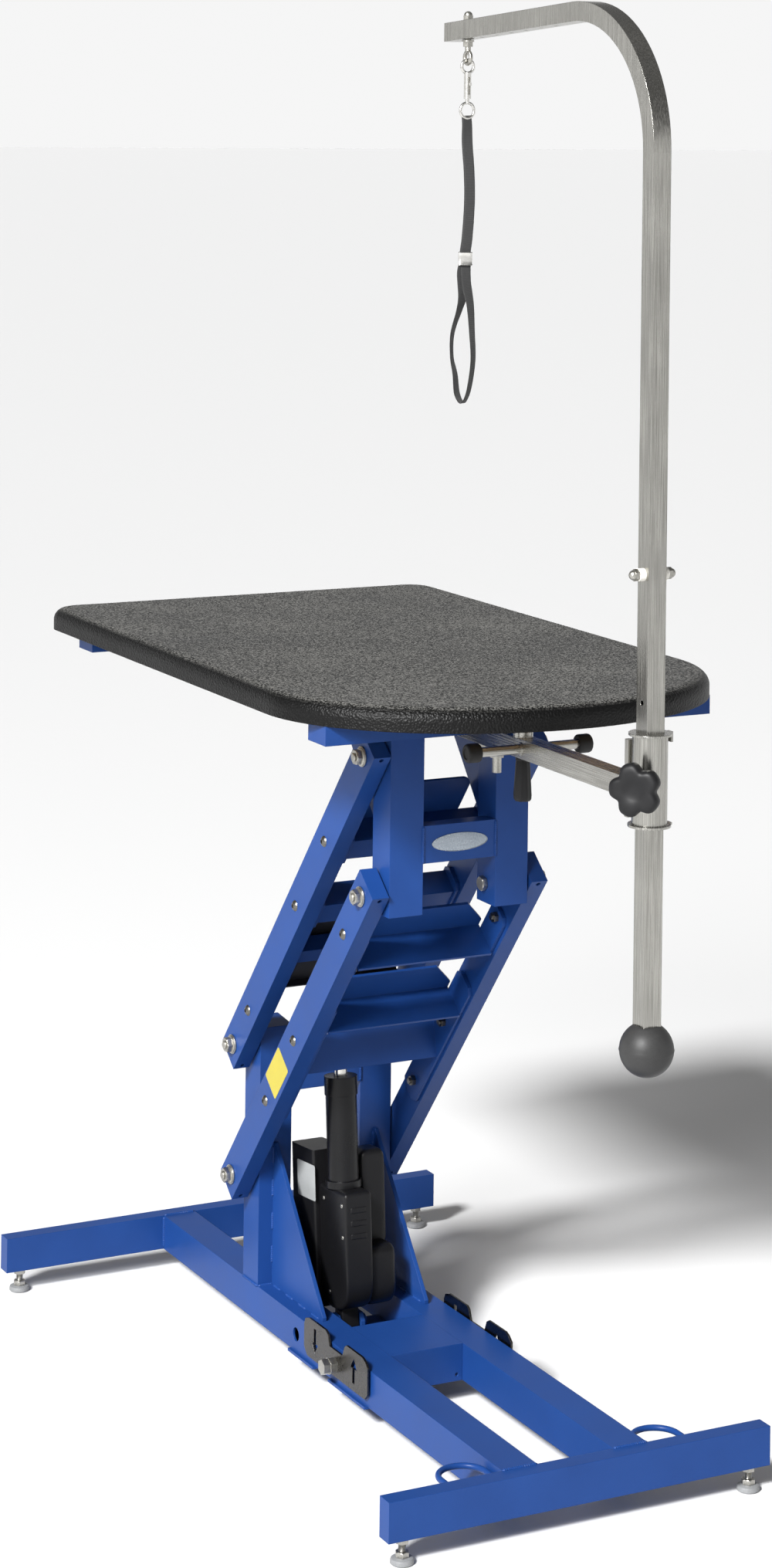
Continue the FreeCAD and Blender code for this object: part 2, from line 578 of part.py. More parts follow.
# ------------------------------------------------------------------ tabletop
def top_outline(inset, z):
    """Square end with small corners, sides parallel, rounded front end."""
    half = TOP_HALF - inset
    back = TOP_BACK_Y - inset
    nose_y = TOP_FRONT_Y + TOP_NOSE
    nose = TOP_NOSE - inset
    r = TOP_CORNER - inset
    edges = []
    edges.append(Part.makeLine(V(-half, nose_y, z), V(-half, back - r, z)))
    mid = r * math.sqrt(0.5)
    edges.append(Part.Arc(V(-half, back - r, z), V(-half + r - mid, back - r + mid, z),
                          V(-half + r, back, z)).toShape())
    edges.append(Part.makeLine(V(-half + r, back, z), V(half - r, back, z)))
    edges.append(Part.Arc(V(half - r, back, z), V(half - r + mid, back - r + mid, z),
                          V(half, back - r, z)).toShape())
    edges.append(Part.makeLine(V(half, back - r, z), V(half, nose_y, z)))
    oval = Part.Ellipse(V(0, nose_y, z), half, nose)
    edges.append(Part.ArcOfEllipse(oval, math.pi, 2 * math.pi).toShape())
    return Part.Wire(Part.__sortEdges__(edges))


def prism(inset, z0, z1):
    return Part.Face(top_outline(inset, z0)).extrude(V(0, 0, z1 - z0))


def tabletop():
    bottom = TOP_Z - TOP_T
    cover = prism(0.0, bottom, TOP_Z)
    top_edges = [e for e in cover.Edges if min(v.Z for v in e.Vertexes) > TOP_Z - 0.1]
    cover = cover.makeFillet(TOP_ROLL, top_edges)
    cover = cover.cut(prism(BOARD_INSET, bottom - 1, TOP_Z - COVER_T))
    write("tabletop_cover", [cover])
    core = prism(BOARD_INSET, bottom, TOP_Z - COVER_T)
    write("tabletop_board", [core])


# ------------------------------------------------- support arm, sleeve, clamp
def support_arm():
    y0 = MAST_Y + SLEEVE_R + 6.35
    z0 = ARM_TOP - BAR
    h = BAR / 2
    arm = hollow(-h, h, y0, ARM_BACK_Y, z0, ARM_TOP, BAR_WALL, "y")
    arm = arm.cut(cyl_z(BOLT_R + RUN, 0, ARM_PIVOT_Y, z0 - 1, ARM_TOP + 1))
    arm = arm.cut(cyl_z(5.0 + RUN, 0, CLAMP_Y, z0 - 1, ARM_TOP + 1))
    arm = arm.cut(cyl_x(CROSS_BAR_R, -h - 1, h + 1, CROSS_BAR_Y, z0 + h))
    boss = cyl_z(13.0, 0, CLAMP_Y, ARM_TOP, FRAME_Z - BOSS_GAP)
    boss = boss.cut(cyl_z(5.0 + RUN, 0, CLAMP_Y, ARM_TOP - 1, FRAME_Z))
    write("support_arm", [union([arm, boss])])
    z = z0 + h
    rod = cyl_x(CROSS_BAR_R, -CROSS_BAR_HALF - CAP_LEN + 4, CROSS_BAR_HALF + CAP_LEN - 4,
                CROSS_BAR_Y, z)
    weld = cyl_x(CROSS_BAR_R + 2.5, h, h + 1.5, CROSS_BAR_Y, z)
    write("cross_bar", [union([rod, weld, mirrored(weld)])])
    x0 = CROSS_BAR_HALF
    cap = cyl_x(CAP_R, x0, x0 + CAP_LEN, CROSS_BAR_Y, z)
    cap = cap.cut(cyl_x(CROSS_BAR_R, x0 - 1, x0 + CAP_LEN - 4, CROSS_BAR_Y, z))
    write("bar_end_caps", [cap, mirrored(cap)])


def sleeve():
    tube = cyl_z(SLEEVE_R, 0, MAST_Y, SLEEVE_Z0, SLEEVE_Z1)
    tube = tube.cut(cyl_z(SLEEVE_R - SLEEVE_WALL, 0, MAST_Y, SLEEVE_Z0 - 1, SLEEVE_Z1 + 1))
    bar = box(-19, 19, MAST_Y + SLEEVE_R - 1.5, MAST_Y + SLEEVE_R + 6.35,
              SLEEVE_Z0 + 5, SLEEVE_Z1 - 8)
    bar = bar.cut(cyl_z(SLEEVE_R - 1.0, 0, MAST_Y, SLEEVE_Z0, SLEEVE_Z1))
    a = math.radians(KNOB_DEG)
    d = V(-math.sin(a), -math.cos(a), 0)
    start = V(0, MAST_Y, KNOB_Z) + d * (SLEEVE_R - 1.0)
    boss = Part.makeCylinder(8.5, 9.0, start, d)
    hole = Part.makeCylinder(4.0 + RUN, 40.0, V(0, MAST_Y, KNOB_Z), d)
    body = union([tube, bar, boss]).cut(hole)
    flanges = []
    w = BAR / 2 + MAST_FIT
    for z0 in (SLEEVE_Z0 - FLANGE_T, SLEEVE_Z1):
        disc = cyl_z(FLANGE_R, 0, MAST_Y, z0, z0 + FLANGE_T)
        inward = -10.0 if z0 > 1000 else 3.0
        ear = box(FLANGE_R - 4, FLANGE_R + 3, MAST_Y - 5, MAST_Y + 5, z0, z0 + FLANGE_T)
        drop = box(FLANGE_R + 0.5, FLANGE_R + 3, MAST_Y - 5, MAST_Y + 5,
                   min(z0, z0 + inward), max(z0 + FLANGE_T, z0 + inward))
        disc = union([disc, ear, drop])
        disc = disc.cut(box(-w, w, MAST_Y - w, MAST_Y + w, z0 - 1, z0 + FLANGE_T + 1))
        flanges.append(disc)
    write("mast_sleeve", [union([body] + flanges)])


def clamp_handle():
    screw = cyl_z(5.0, 0, CLAMP_Y, ARM_TOP - 32.5, FRAME_Z - 0.4)
    collar = cyl_z(10.0, 0, CLAMP_Y, ARM_TOP - 31.5, ARM_TOP - BAR - 0.2)
    grip = Part.makeCone(12.0, 9.0, 54.0, V(0, CLAMP_Y, ARM_TOP - 84.5), V(0, 0, 1))
    write("clamp_handle", [union([grip, collar, screw])])


def star_knob():
    a = math.radians(KNOB_DEG)
    d = V(-math.sin(a), -math.cos(a), 0)
    lobes = []
    core = Part.makeCylinder(23.0, 20.0, V(0, 0, 0), V(0, 0, 1))
    lobes.append(core)
    for k in range(5):
        t = math.radians(72 * k + 18)
        c = V((KNOB_R - 10.0) * math.cos(t), (KNOB_R - 10.0) * math.sin(t), 0)
        lobes.append(Part.makeCylinder(10.0, 20.0, c, V(0, 0, 1)))
    head = union(lobes)
    for k in range(5):
        t = math.radians(72 * k + 54)
        c = V((KNOB_R + 3.5) * math.cos(t), (KNOB_R + 3.5) * math.sin(t), -1)
        head = head.cut(Part.makeCylinder(13.5, 22.0, c, V(0, 0, 1)))
    hub = Part.makeCylinder(11.0, 9.0, V(0, 0, -9.0), V(0, 0, 1))
    screw = Part.makeCylinder(4.0, KNOB_OUT - KNOB_TIP, V(0, 0, KNOB_TIP - KNOB_OUT), V(0, 0, 1))
    knob = union([head, hub, screw])
    knob.rotate(V(0, 0, 0), V(1, 0, 0), 90)
    knob.rotate(V(0, 0, 0), V(0, 0, 1), -KNOB_DEG)
    knob.translate(V(0, MAST_Y, KNOB_Z) + d * KNOB_OUT)
    write("star_knob", [knob])


# ---------------------------------------------------------------------- mast
def mast_band(half, x_half, end_cut, start_cut):
    """The mast's bent outline, offset each way by half, extruded across X."""
    c = V(0, MAST_Y + BEND_R, BEND_Z)
    end = math.radians(90 + DROOP)

    def arc_pt(r, turn):
        return V(0, c.y - r * math.cos(turn), c.z + r * math.sin(turn))

    def at_end(r):
        p = arc_pt(r, end)
        run = (MAST_ARM_END_Y - end_cut - p.y) / math.cos(math.radians(DROOP))
        return V(0, MAST_ARM_END_Y - end_cut, p.z - run * math.sin(math.radians(DROOP)))

    ro, ri = BEND_R + half, BEND_R - half
    z0 = MAST_BOTTOM + start_cut
    edges = [Part.makeLine(V(0, c.y - ro, z0), arc_pt(ro, 0))]
    edges.append(Part.Arc(arc_pt(ro, 0), arc_pt(ro, end / 2), arc_pt(ro, end)).toShape())
    edges.append(Part.makeLine(arc_pt(ro, end), at_end(ro)))
    edges.append(Part.makeLine(at_end(ro), at_end(ri)))
    edges.append(Part.makeLine(at_end(ri), arc_pt(ri, end)))
    edges.append(Part.Arc(arc_pt(ri, end), arc_pt(ri, end / 2), arc_pt(ri, 0)).toShape())
    edges.append(Part.makeLine(arc_pt(ri, 0), V(0, c.y - ri, z0)))
    edges.append(Part.makeLine(V(0, c.y - ri, z0), V(0, c.y - ro, z0)))
    face = Part.Face(Part.Wire(Part.__sortEdges__(edges)))
    face.translate(V(-x_half, 0, 0))
    return face.extrude(V(2 * x_half, 0, 0))


def arm_mid_z(y):
    c_y = MAST_Y + BEND_R
    end = math.radians(90 + DROOP)
    y_end = c_y - BEND_R * math.cos(end)
    z_end = BEND_Z + BEND_R * math.sin(end)
    return z_end - (y - y_end) * math.tan(math.radians(DROOP))


def mast():
    h = BAR / 2
    outer = mast_band(h, h, 0.0, 0.0)
    inner = mast_band(h - BAR_WALL, h - BAR_WALL, 1.5, -5.0)
    tube = outer.cut(inner)
    for k in range(1, 7):
        y = EYE_Y - ARM_HOLE_STEP * k
        z = arm_mid_z(y)
        tube = tube.cut(cyl_z(3.2, 0, y, z - h - 3, z))
    z = arm_mid_z(EYE_Y)
    tube = tube.cut(cyl_z(4.1, 0, EYE_Y, z - 20, z + 20))
    tube = tube.cut(cyl_x(3.5, -20, 0, MAST_Y, 1066.0))
    tube = tube.cut(cyl_x(4.1, -20, 20, MAST_Y, STOP_Z))
    write("mast_tube", [tube])

    bolt = cyl_x(4.0, -30.0, 30.0, MAST_Y, STOP_Z)
    ends = []
    for side in (-1, 1):
        a, b = sorted((side * 21.0, side * 27.0))
        ends.append(hexagon_x(13.0, a, b, MAST_Y, STOP_Z))
        dome = Part.makeSphere(6.0, V(side * 27.0, MAST_Y, STOP_Z))
        ends.append(dome)
    write("stop_bolt", [union([bolt] + ends)])
    spacer = cyl_x(8.0, h, 20.8, MAST_Y, STOP_Z)
    spacer = spacer.cut(cyl_x(4.1, h - 1, 22.0, MAST_Y, STOP_Z))
    write("stop_spacers", [spacer, mirrored(spacer)])

    ball = Part.makeSphere(BALL_R, V(0, MAST_Y, BALL_Z))
    ball = ball.cut(box(-h, h, MAST_Y - h, MAST_Y + h, MAST_BOTTOM, BALL_Z + 60))
    write("ball_bumper", [ball])

    mid = arm_mid_z(EYE_Y)
    shank = cyl_z(4.0, 0, EYE_Y, EYE_Z + EYE_R, mid + h + 10)
    ring = Part.makeTorus(EYE_R, EYE_WIRE, V(0, EYE_Y, EYE_Z), V(1, 0, 0))
    low = hexagon_z(13.0, 0, EYE_Y, mid - h - 10.0, mid - h - 3.0)
    low_washer = cyl_z(8.5, 0, EYE_Y, mid - h - 3.2, mid - h - 1.0)
    top = hexagon_z(13.0, 0, EYE_Y, mid + h + 0.6, mid + h + 7.0)
    dome = Part.makeSphere(6.0, V(0, EYE_Y, mid + h + 7.0))
    write("eye_bolt", [union([shank, ring, low, low_washer, top, dome])])


# ---------------------------------------------------------- snap and noose
def bolt_snap():
    ring_z = EYE_Z - EYE_R + EYE_WIRE + SNAP_WIRE + 0.15 - SNAP_RING_R
    ring = Part.makeTorus(SNAP_RING_R, SNAP_WIRE, V(0, EYE_Y, ring_z), V(0, 1, 0))
    barrel = cyl_z(5.0, 0, EYE_Y, SNAP_FOOT, ring_z - SNAP_RING_R + 1.0)
    slot = box(-1.6, 1.6, EYE_Y - 6, EYE_Y, SNAP_FOOT + 6.0, SNAP_FOOT + 30.0)
    body = union([ring, barrel]).cut(slot)
    write("snap_hook", [body])
    trigger_z = SNAP_FOOT + 18.0
    trigger = box(-1.3, 1.3, EYE_Y - 9.5, EYE_Y - 0.4, trigger_z, trigger_z + 4.0)
    write("snap_trigger", [trigger])
    ring_z = SWIVEL_LOW + SWIVEL_R
    stem = cyl_z(3.0, 0, EYE_Y, ring_z + SWIVEL_R - 1.0, SNAP_FOOT - 0.3)
    loop = Part.makeTorus(SWIVEL_R, SWIVEL_WIRE, V(0, EYE_Y, ring_z), V(0, 1, 0))
    write("snap_swivel", [union([stem, loop])])


def noose():
    """A webbing loop: folded over the swivel's ring, down, and round below."""
    t, w = STRAP_T, STRAP_W / 2
    low_mid = (NOOSE_LOCK_Z + NOOSE_LOW) / 2
    tall = (NOOSE_LOCK_Z - NOOSE_LOW) / 2
    outer = Part.Ellipse(V(0, 0, 0), tall, NOOSE_HALF).toShape()
    inner = Part.Ellipse(V(0, 0, 0), tall - t, NOOSE_HALF - t).toShape()
    face = Part.Face([Part.Wire([outer]), Part.Wire([inner])])
    band = face.extrude(V(0, 0, STRAP_W))
    band.translate(V(0, 0, -w))
    band.rotate(V(0, 0, 0), V(0, 1, 0), 90)
    band.rotate(V(0, 0, 0), V(0, 0, 1), LOOP_TURN)
    band.translate(V(0, EYE_Y, low_mid))
    gap_y = SWIVEL_WIRE + 1.4
    z0 = SWIVEL_LOW - SWIVEL_WIRE - 0.3
    z1 = SWIVEL_LOW + SWIVEL_WIRE + 3.8
    riser = box(-w, w, EYE_Y - t, EYE_Y + t, NOOSE_LOCK_Z - 1.0, z0)
    riser.rotate(V(0, EYE_Y, 0), V(0, 0, 1), STRAP_TURN)
    fold = box(-w, w, EYE_Y - gap_y - t, EYE_Y + gap_y + t, z0 - t, z1 + t)
    fold = fold.cut(box(-w - 1, w + 1, EYE_Y - gap_y, EYE_Y + gap_y, z0, z1))
    write("noose", [union([band, riser, fold])])
    x = w + 0.3
    y = t + 0.3
    z0, z1 = NOOSE_LOCK_Z + 2.0, NOOSE_LOCK_Z + 20.0
    lock = box(-x - 2, x + 2, EYE_Y - y - 2, EYE_Y + y + 2, z0, z1)
    lock = lock.cut(box(-x, x, EYE_Y - y, EYE_Y + y, z0 - 1, z1 + 1))
    lock.rotate(V(0, EYE_Y, 0), V(0, 0, 1), STRAP_TURN)
    write("noose_lock", [lock])


# ------------------------------------------------------------------ actuator
PIN_Y, PIN_Z = link_point(ACT_TOP_S, 0.0, PIVOT_UP_Z)
ACT_LEN = math.hypot(PIN_Y - ACT_Y, PIN_Z - ACT_Z)
ACT_LEAN = math.degrees(math.atan2(PIN_Y - ACT_Y, PIN_Z - ACT_Z))


def on_actuator(shape):
    """Carries a piece drawn upright on the base pin to the actuator's lean."""
    placed = shape.copy()
    placed.rotate(V(0, 0, 0), V(1, 0, 0), -ACT_LEAN)
    placed.translate(V(ACT_X, ACT_Y, ACT_Z))
    return placed


def rounded(shape, r, axis):
    edges = []
    for e in shape.Edges:
        a, b = e.Vertexes[0].Point, e.Vertexes[-1].Point
        d = b - a
        lengths = {"x": abs(d.x), "y": abs(d.y), "z": abs(d.z)}
        if lengths[axis] > 1.0 and sum(lengths.values()) - lengths[axis] < 0.01:
            edges.append(e)
    return shape.makeFillet(r, edges)


def actuator():
    lug = cyl_x(13.5, -13.0, 13.0, 0, 0)
    neck = box(-13, 13, -11, 11, 0, 24)
    lug = union([lug, neck]).cut(cyl_x(ACT_PIN_R + RUN, -14, 14, 0, 0))
    case = rounded(box(-22, 20, -49, 36, 22, 190), 5.0, "z")
    gear = rounded(box(20, 62, -40, 34, 24, 110), 12.0, "x")
    motor = rounded(box(27, 64, -6, 34, 108, 236), 10.0, "z")
    body = union([lug, case, gear, motor])
    body = body.cut(cyl_z(ROD_R + 0.4, 0, 0, 30, 200))
    write("actuator_housing", [on_actuator(body)])

    tube = cyl_z(ACT_TUBE_R, 0, 0, 190, ACT_TUBE_TOP - 4)
    collar = cyl_z(26.0, 0, 0, 190, 200)
    cap = cyl_z(24.0, 0, 0, ACT_TUBE_TOP - 26, ACT_TUBE_TOP)
    whole = union([tube, collar, cap]).cut(cyl_z(ROD_R + 0.4, 0, 0, 180, 360))
    write("actuator_tube", [on_actuator(whole)])

    control = rounded(box(-30, 20, 36.5, 108, 16, 236), 4.0, "z")
    write("control_box", [on_actuator(control)])

    rod = cyl_z(ROD_R, 0, 0, ROD_FOOT, ACT_LEN - 8)
    eye = cyl_x(12.0, -10.5, 10.5, 0, ACT_LEN)
    pin = cyl_x(TOP_PIN_R, -25.0, 25.0, 0, ACT_LEN)
    heads = [cyl_x(17.0, -24.0, -21.6, 0, ACT_LEN), cyl_x(17.0, 21.6, 24.0, 0, ACT_LEN)]
    write("actuator_rod", [on_actuator(union([rod, eye, pin] + heads))])


# ---------------------------------------------------------------------- feet
def levelling_feet():
    front_y = TUBE_THIN / 2
    rear_y = REAR_Y + TUBE_THIN / 2
    spots = {
        "foot_front_left": (-FRONT_HALF + FOOT_INSET, front_y),
        "foot_front_right": (FRONT_HALF - FOOT_INSET, front_y),
        "foot_rear_left": (-REAR_HALF + FOOT_INSET, rear_y),
        "foot_rear_right": (REAR_HALF - FOOT_INSET, rear_y),
    }
    for name, (x, y) in spots.items():
        pad = cyl_z(PAD_R, x, y, 0, PAD_H)
        nut = hexagon_z(16.0, x, y, PAD_H, PAD_H + 7.0)
        stud = cyl_z(STUD_R, x, y, PAD_H, FLOOR_GAP + 26.0)
        write(name, [union([pad, nut, stud])])
    nuts = []
    for x, y in spots.values():
        nut = cyl_z(9.0, x, y, FLOOR_GAP - 2.5, FLOOR_GAP)
        nut = union([nut, hexagon_z(15.0, x, y, FLOOR_GAP - 7.0, FLOOR_GAP - 2.5)])
        nuts.append(nut.cut(cyl_z(STUD_R + RUN, x, y, 0, FLOOR_GAP + 1)))
    write("foot_nuts", nuts)


base_frame()
lower_posts()
switch_cover()
actuator_mount()
tie_down_loops()
pedals()
links()
pivots()
upper_frame()
tabletop()
support_arm()
sleeve()
clamp_handle()
star_knob()
mast()
bolt_snap()
noose()
actuator()
levelling_feet()
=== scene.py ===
import json
import math
import random

import bpy
from mathutils import Matrix, Vector


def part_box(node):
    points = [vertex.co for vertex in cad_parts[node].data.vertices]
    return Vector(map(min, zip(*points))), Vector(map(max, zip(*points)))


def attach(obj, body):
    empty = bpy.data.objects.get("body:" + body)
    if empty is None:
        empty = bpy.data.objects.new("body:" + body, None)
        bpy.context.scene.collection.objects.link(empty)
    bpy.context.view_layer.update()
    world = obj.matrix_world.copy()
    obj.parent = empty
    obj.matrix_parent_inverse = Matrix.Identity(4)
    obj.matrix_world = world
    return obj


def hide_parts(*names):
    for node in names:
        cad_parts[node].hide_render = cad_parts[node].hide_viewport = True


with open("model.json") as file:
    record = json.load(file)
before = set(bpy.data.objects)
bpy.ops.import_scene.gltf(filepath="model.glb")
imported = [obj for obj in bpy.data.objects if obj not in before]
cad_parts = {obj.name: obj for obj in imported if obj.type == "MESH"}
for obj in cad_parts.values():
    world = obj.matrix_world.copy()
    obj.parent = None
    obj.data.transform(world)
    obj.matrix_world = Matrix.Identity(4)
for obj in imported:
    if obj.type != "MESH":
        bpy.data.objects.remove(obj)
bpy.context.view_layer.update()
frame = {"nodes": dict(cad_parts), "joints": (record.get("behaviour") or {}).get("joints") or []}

nodes = frame["nodes"]
pivots = {j["name"]: Vector(j["pos_m"]) for j in frame["joints"] if "pos_m" in j}
axes = {j["name"]: Vector(j["axis"]) for j in frame["joints"]}


# ------------------------------------------------------------------ camera
# The camera stands off the rounded end's left corner, about as high as the
# mast's arm, and looks almost level, so uprights stay upright.
EYE = Vector((-2.2085, -4.1544, 1.8156))
HEADING = math.radians(27.25)
TILT = math.radians(0.55)
ROLL = math.radians(0.73)
forward = Vector((math.sin(HEADING) * math.cos(TILT), math.cos(HEADING) * math.cos(TILT), math.sin(TILT)))
level = Vector((math.cos(HEADING), -math.sin(HEADING), 0.0))
upward = level.cross(forward)
right = math.cos(ROLL) * level + math.sin(ROLL) * upward
above = right.cross(forward)
lens = bpy.data.cameras.new("camera")
lens.sensor_width = 36.0
lens.lens = 77.67
lens.shift_x = -0.0017
lens.shift_y = -0.4628
lens.clip_end = 400.0
camera = bpy.data.objects.new("camera", lens)
turn = Matrix((right, above, -forward)).transposed().to_4x4()
camera.matrix_world = Matrix.Translation(EYE) @ turn
bpy.context.scene.collection.objects.link(camera)
bpy.context.scene.camera = camera


# --------------------------------------------------------- floor and light
# A pale studio floor under a surround that glows near the horizon, a square
# soft light high on the left, and a broad far-off light from the same side.
def simple_material(name):
    made = bpy.data.materials.new(name)
    made.use_nodes = True
    made.node_tree.nodes.clear()
    out = made.node_tree.nodes.new("ShaderNodeOutputMaterial")
    shader = made.node_tree.nodes.new("ShaderNodeBsdfPrincipled")
    made.node_tree.links.new(shader.outputs[0], out.inputs[0])
    return made, made.node_tree, shader


def add_node(tree, kind, **values):
    node = tree.nodes.new("ShaderNode" + kind)
    for key, value in values.items():
        setattr(node, key, value)
    return node


def colour_steps(tree, stops):
    ramp = add_node(tree, "ValToRGB")
    ramp.color_ramp.elements[0].position = stops[0][0]
    ramp.color_ramp.elements[0].color = (*stops[0][1], 1.0)
    ramp.color_ramp.elements[1].position = stops[-1][0]
    ramp.color_ramp.elements[1].color = (*stops[-1][1], 1.0)
    for place, colour in stops[1:-1]:
        ramp.color_ramp.elements.new(place).color = (*colour, 1.0)
    return ramp


def mesh_piece(name, points, faces, material, body, smooth=40.0):
    mesh = bpy.data.meshes.new(name)
    mesh.from_pydata([tuple(p) for p in points], [], faces)
    mesh.validate()
    mesh.update()
    mesh.shade_smooth()
    mesh.set_sharp_from_angle(angle=math.radians(smooth))
    piece = bpy.data.objects.new(name, mesh)
    piece.data.materials.append(material)
    bpy.context.scene.collection.objects.link(piece)
    if body:
        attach(piece, body)
    return piece


studio, tree, shader = simple_material("studio_floor")
mist = add_node(tree, "TexNoise")
mist.inputs["Scale"].default_value = 0.6
tint = colour_steps(tree, [(0.3, (0.74, 0.74, 0.74)), (0.7, (0.77, 0.77, 0.77))])
tree.links.new(mist.outputs["Fac"], tint.inputs[0])
tree.links.new(tint.outputs[0], shader.inputs["Base Color"])
shader.inputs["Roughness"].default_value = 0.9
REACH = 90.0
corners = [(-REACH, -REACH, 0), (REACH, -REACH, 0), (REACH, REACH, 0), (-REACH, REACH, 0)]
floor = mesh_piece("studio_floor", corners, [(0, 1, 2, 3)], studio, None)
floor.location.z = -0.0005

surround = bpy.data.worlds.new("surround")
surround.use_nodes = True
tree = surround.node_tree
sky = tree.nodes["Background"]
heading = add_node(tree, "TexCoord")
height = add_node(tree, "SeparateXYZ")
HORIZON, LOW_SKY, HIGH_SKY = (0.92, 0.92, 0.92), (0.16, 0.16, 0.16), (0.20, 0.20, 0.20)
glow = colour_steps(tree, [(0.0, HORIZON), (0.10, HORIZON), (0.34, LOW_SKY), (1.0, HIGH_SKY)])
tree.links.new(heading.outputs["Generated"], height.inputs[0])
tree.links.new(height.outputs[2], glow.inputs[0])
tree.links.new(glow.outputs[0], sky.inputs[0])
sky.inputs[1].default_value = 1.0
bpy.context.scene.world = surround
bpy.context.scene.view_settings.view_transform = "Standard"


def soft_light(name, place, aim, size, power):
    lamp = bpy.data.lights.new(name, "AREA")
    lamp.shape = "RECTANGLE"
    lamp.size, lamp.size_y = size
    lamp.energy = power
    holder = bpy.data.objects.new(name, lamp)
    direction = Vector(aim) - Vector(place)
    holder.matrix_world = Matrix.Translation(place) @ direction.to_track_quat("-Z", "Y").to_matrix().to_4x4()
    bpy.context.scene.collection.objects.link(holder)


soft_light("key_light", (-3.4, -2.6, 3.1), (0, 0, 0.7), (1.3, 1.3), 180)
SHINES_TOWARDS = Vector((0.76, 0.44, -0.68))
far_off = bpy.data.lights.new("broad_light", "SUN")
far_off.energy = 5.0
far_off.angle = math.radians(9.0)
broad_light = bpy.data.objects.new("broad_light", far_off)
broad_light.rotation_euler = SHINES_TOWARDS.to_track_quat("-Z", "Y").to_euler()
bpy.context.scene.collection.objects.link(broad_light)


# -------------------------------------------------------- painted steelwork
# The base, the posts, the links and the frame under the top are welded
# from square and flat tube, then powder-coated in a deep satin blue.
def effect_group(name, inputs, outputs):
    group = bpy.data.node_groups.new(name, "ShaderNodeTree")
    for label, kind, value in inputs:
        socket = group.interface.new_socket(name=label, in_out="INPUT", socket_type="NodeSocket" + kind)
        socket.default_value = value
    for label, kind in outputs:
        group.interface.new_socket(name=label, in_out="OUTPUT", socket_type="NodeSocket" + kind)
    start = group.nodes.new("NodeGroupInput")
    end = group.nodes.new("NodeGroupOutput")
    return group, start, end


# patchy tone and fine grain: two noises, one broad and one small
grain_group, start, end = effect_group(
    "patch_and_grain",
    [("Stretch", "Vector", (1.0, 1.0, 1.0)), ("Patch", "Float", 6.0), ("Grain", "Float", 900.0),
     ("Dark", "Color", (0, 0, 0, 1)), ("Light", "Color", (1, 1, 1, 1)), ("Mix", "Float", 0.5),
     ("Rough Low", "Float", 0.3), ("Rough High", "Float", 0.5)],
    [("Color", "Color"), ("Roughness", "Float"), ("Height", "Float")])
place = add_node(grain_group, "TexCoord")
scaled = add_node(grain_group, "VectorMath", operation="MULTIPLY")
broad = add_node(grain_group, "TexNoise")
broad.inputs["Detail"].default_value = 4.0
small = add_node(grain_group, "TexNoise")
small.inputs["Detail"].default_value = 2.0
blend = add_node(grain_group, "Mix", data_type="FLOAT")
tone = add_node(grain_group, "Mix", data_type="RGBA")
spread = add_node(grain_group, "MapRange")
spread.inputs["From Min"].default_value = 0.3
spread.inputs["From Max"].default_value = 0.7
rough = add_node(grain_group, "MapRange")
links = grain_group.links
links.new(place.outputs["Object"], scaled.inputs[0])
links.new(start.outputs["Stretch"], scaled.inputs[1])
links.new(place.outputs["Object"], broad.inputs["Vector"])
links.new(scaled.outputs[0], small.inputs["Vector"])
links.new(start.outputs["Patch"], broad.inputs["Scale"])
links.new(start.outputs["Grain"], small.inputs["Scale"])
links.new(start.outputs["Mix"], blend.inputs[0])
links.new(broad.outputs["Fac"], blend.inputs[2])
links.new(small.outputs["Fac"], blend.inputs[3])
links.new(blend.outputs[0], spread.inputs[0])
links.new(spread.outputs[0], tone.inputs[0])
links.new(start.outputs["Dark"], tone.inputs[6])
links.new(start.outputs["Light"], tone.inputs[7])
links.new(spread.outputs[0], rough.inputs[0])
links.new(start.outputs["Rough Low"], rough.inputs["To Min"])
links.new(start.outputs["Rough High"], rough.inputs["To Max"])
links.new(tone.outputs[2], end.inputs["Color"])
links.new(rough.outputs[0], end.inputs["Roughness"])
links.new(small.outputs["Fac"], end.inputs["Height"])


def finish(name, dark, light, mix=0.5, patch=6.0, grain=900.0, stretch=(1, 1, 1), rough=(0.3, 0.5),
           metal=0.0, bump=0.1, depth=0.0002, edge=0.0007, gloss=0.5):
    """A Principled finish whose tone, roughness and relief vary over the surface."""
    made, tree, shader = simple_material(name)
    grain_node = add_node(tree, "Group", node_tree=grain_group)
    grain_node.inputs["Stretch"].default_value = stretch
    grain_node.inputs["Patch"].default_value = patch
    grain_node.inputs["Grain"].default_value = grain
    grain_node.inputs["Dark"].default_value = (*dark, 1.0)
    grain_node.inputs["Light"].default_value = (*light, 1.0)
    grain_node.inputs["Mix"].default_value = mix
    grain_node.inputs["Rough Low"].default_value = rough[0]
    grain_node.inputs["Rough High"].default_value = rough[1]
    relief = add_node(tree, "Bump")
    relief.inputs["Strength"].default_value = bump
    relief.inputs["Distance"].default_value = depth
    if edge:
        soften = add_node(tree, "Bevel", samples=4)
        soften.inputs["Radius"].default_value = edge
        tree.links.new(soften.outputs[0], relief.inputs["Normal"])
    tree.links.new(grain_node.outputs["Color"], shader.inputs["Base Color"])
    tree.links.new(grain_node.outputs["Roughness"], shader.inputs["Roughness"])
    tree.links.new(grain_node.outputs["Height"], relief.inputs["Height"])
    tree.links.new(relief.outputs[0], shader.inputs["Normal"])
    shader.inputs["Metallic"].default_value = metal
    shader.inputs["Specular IOR Level"].default_value = gloss
    return made


def dress(material, *names):
    for name in names:
        data = nodes[name].data
        data.materials.clear()
        data.materials.append(material)


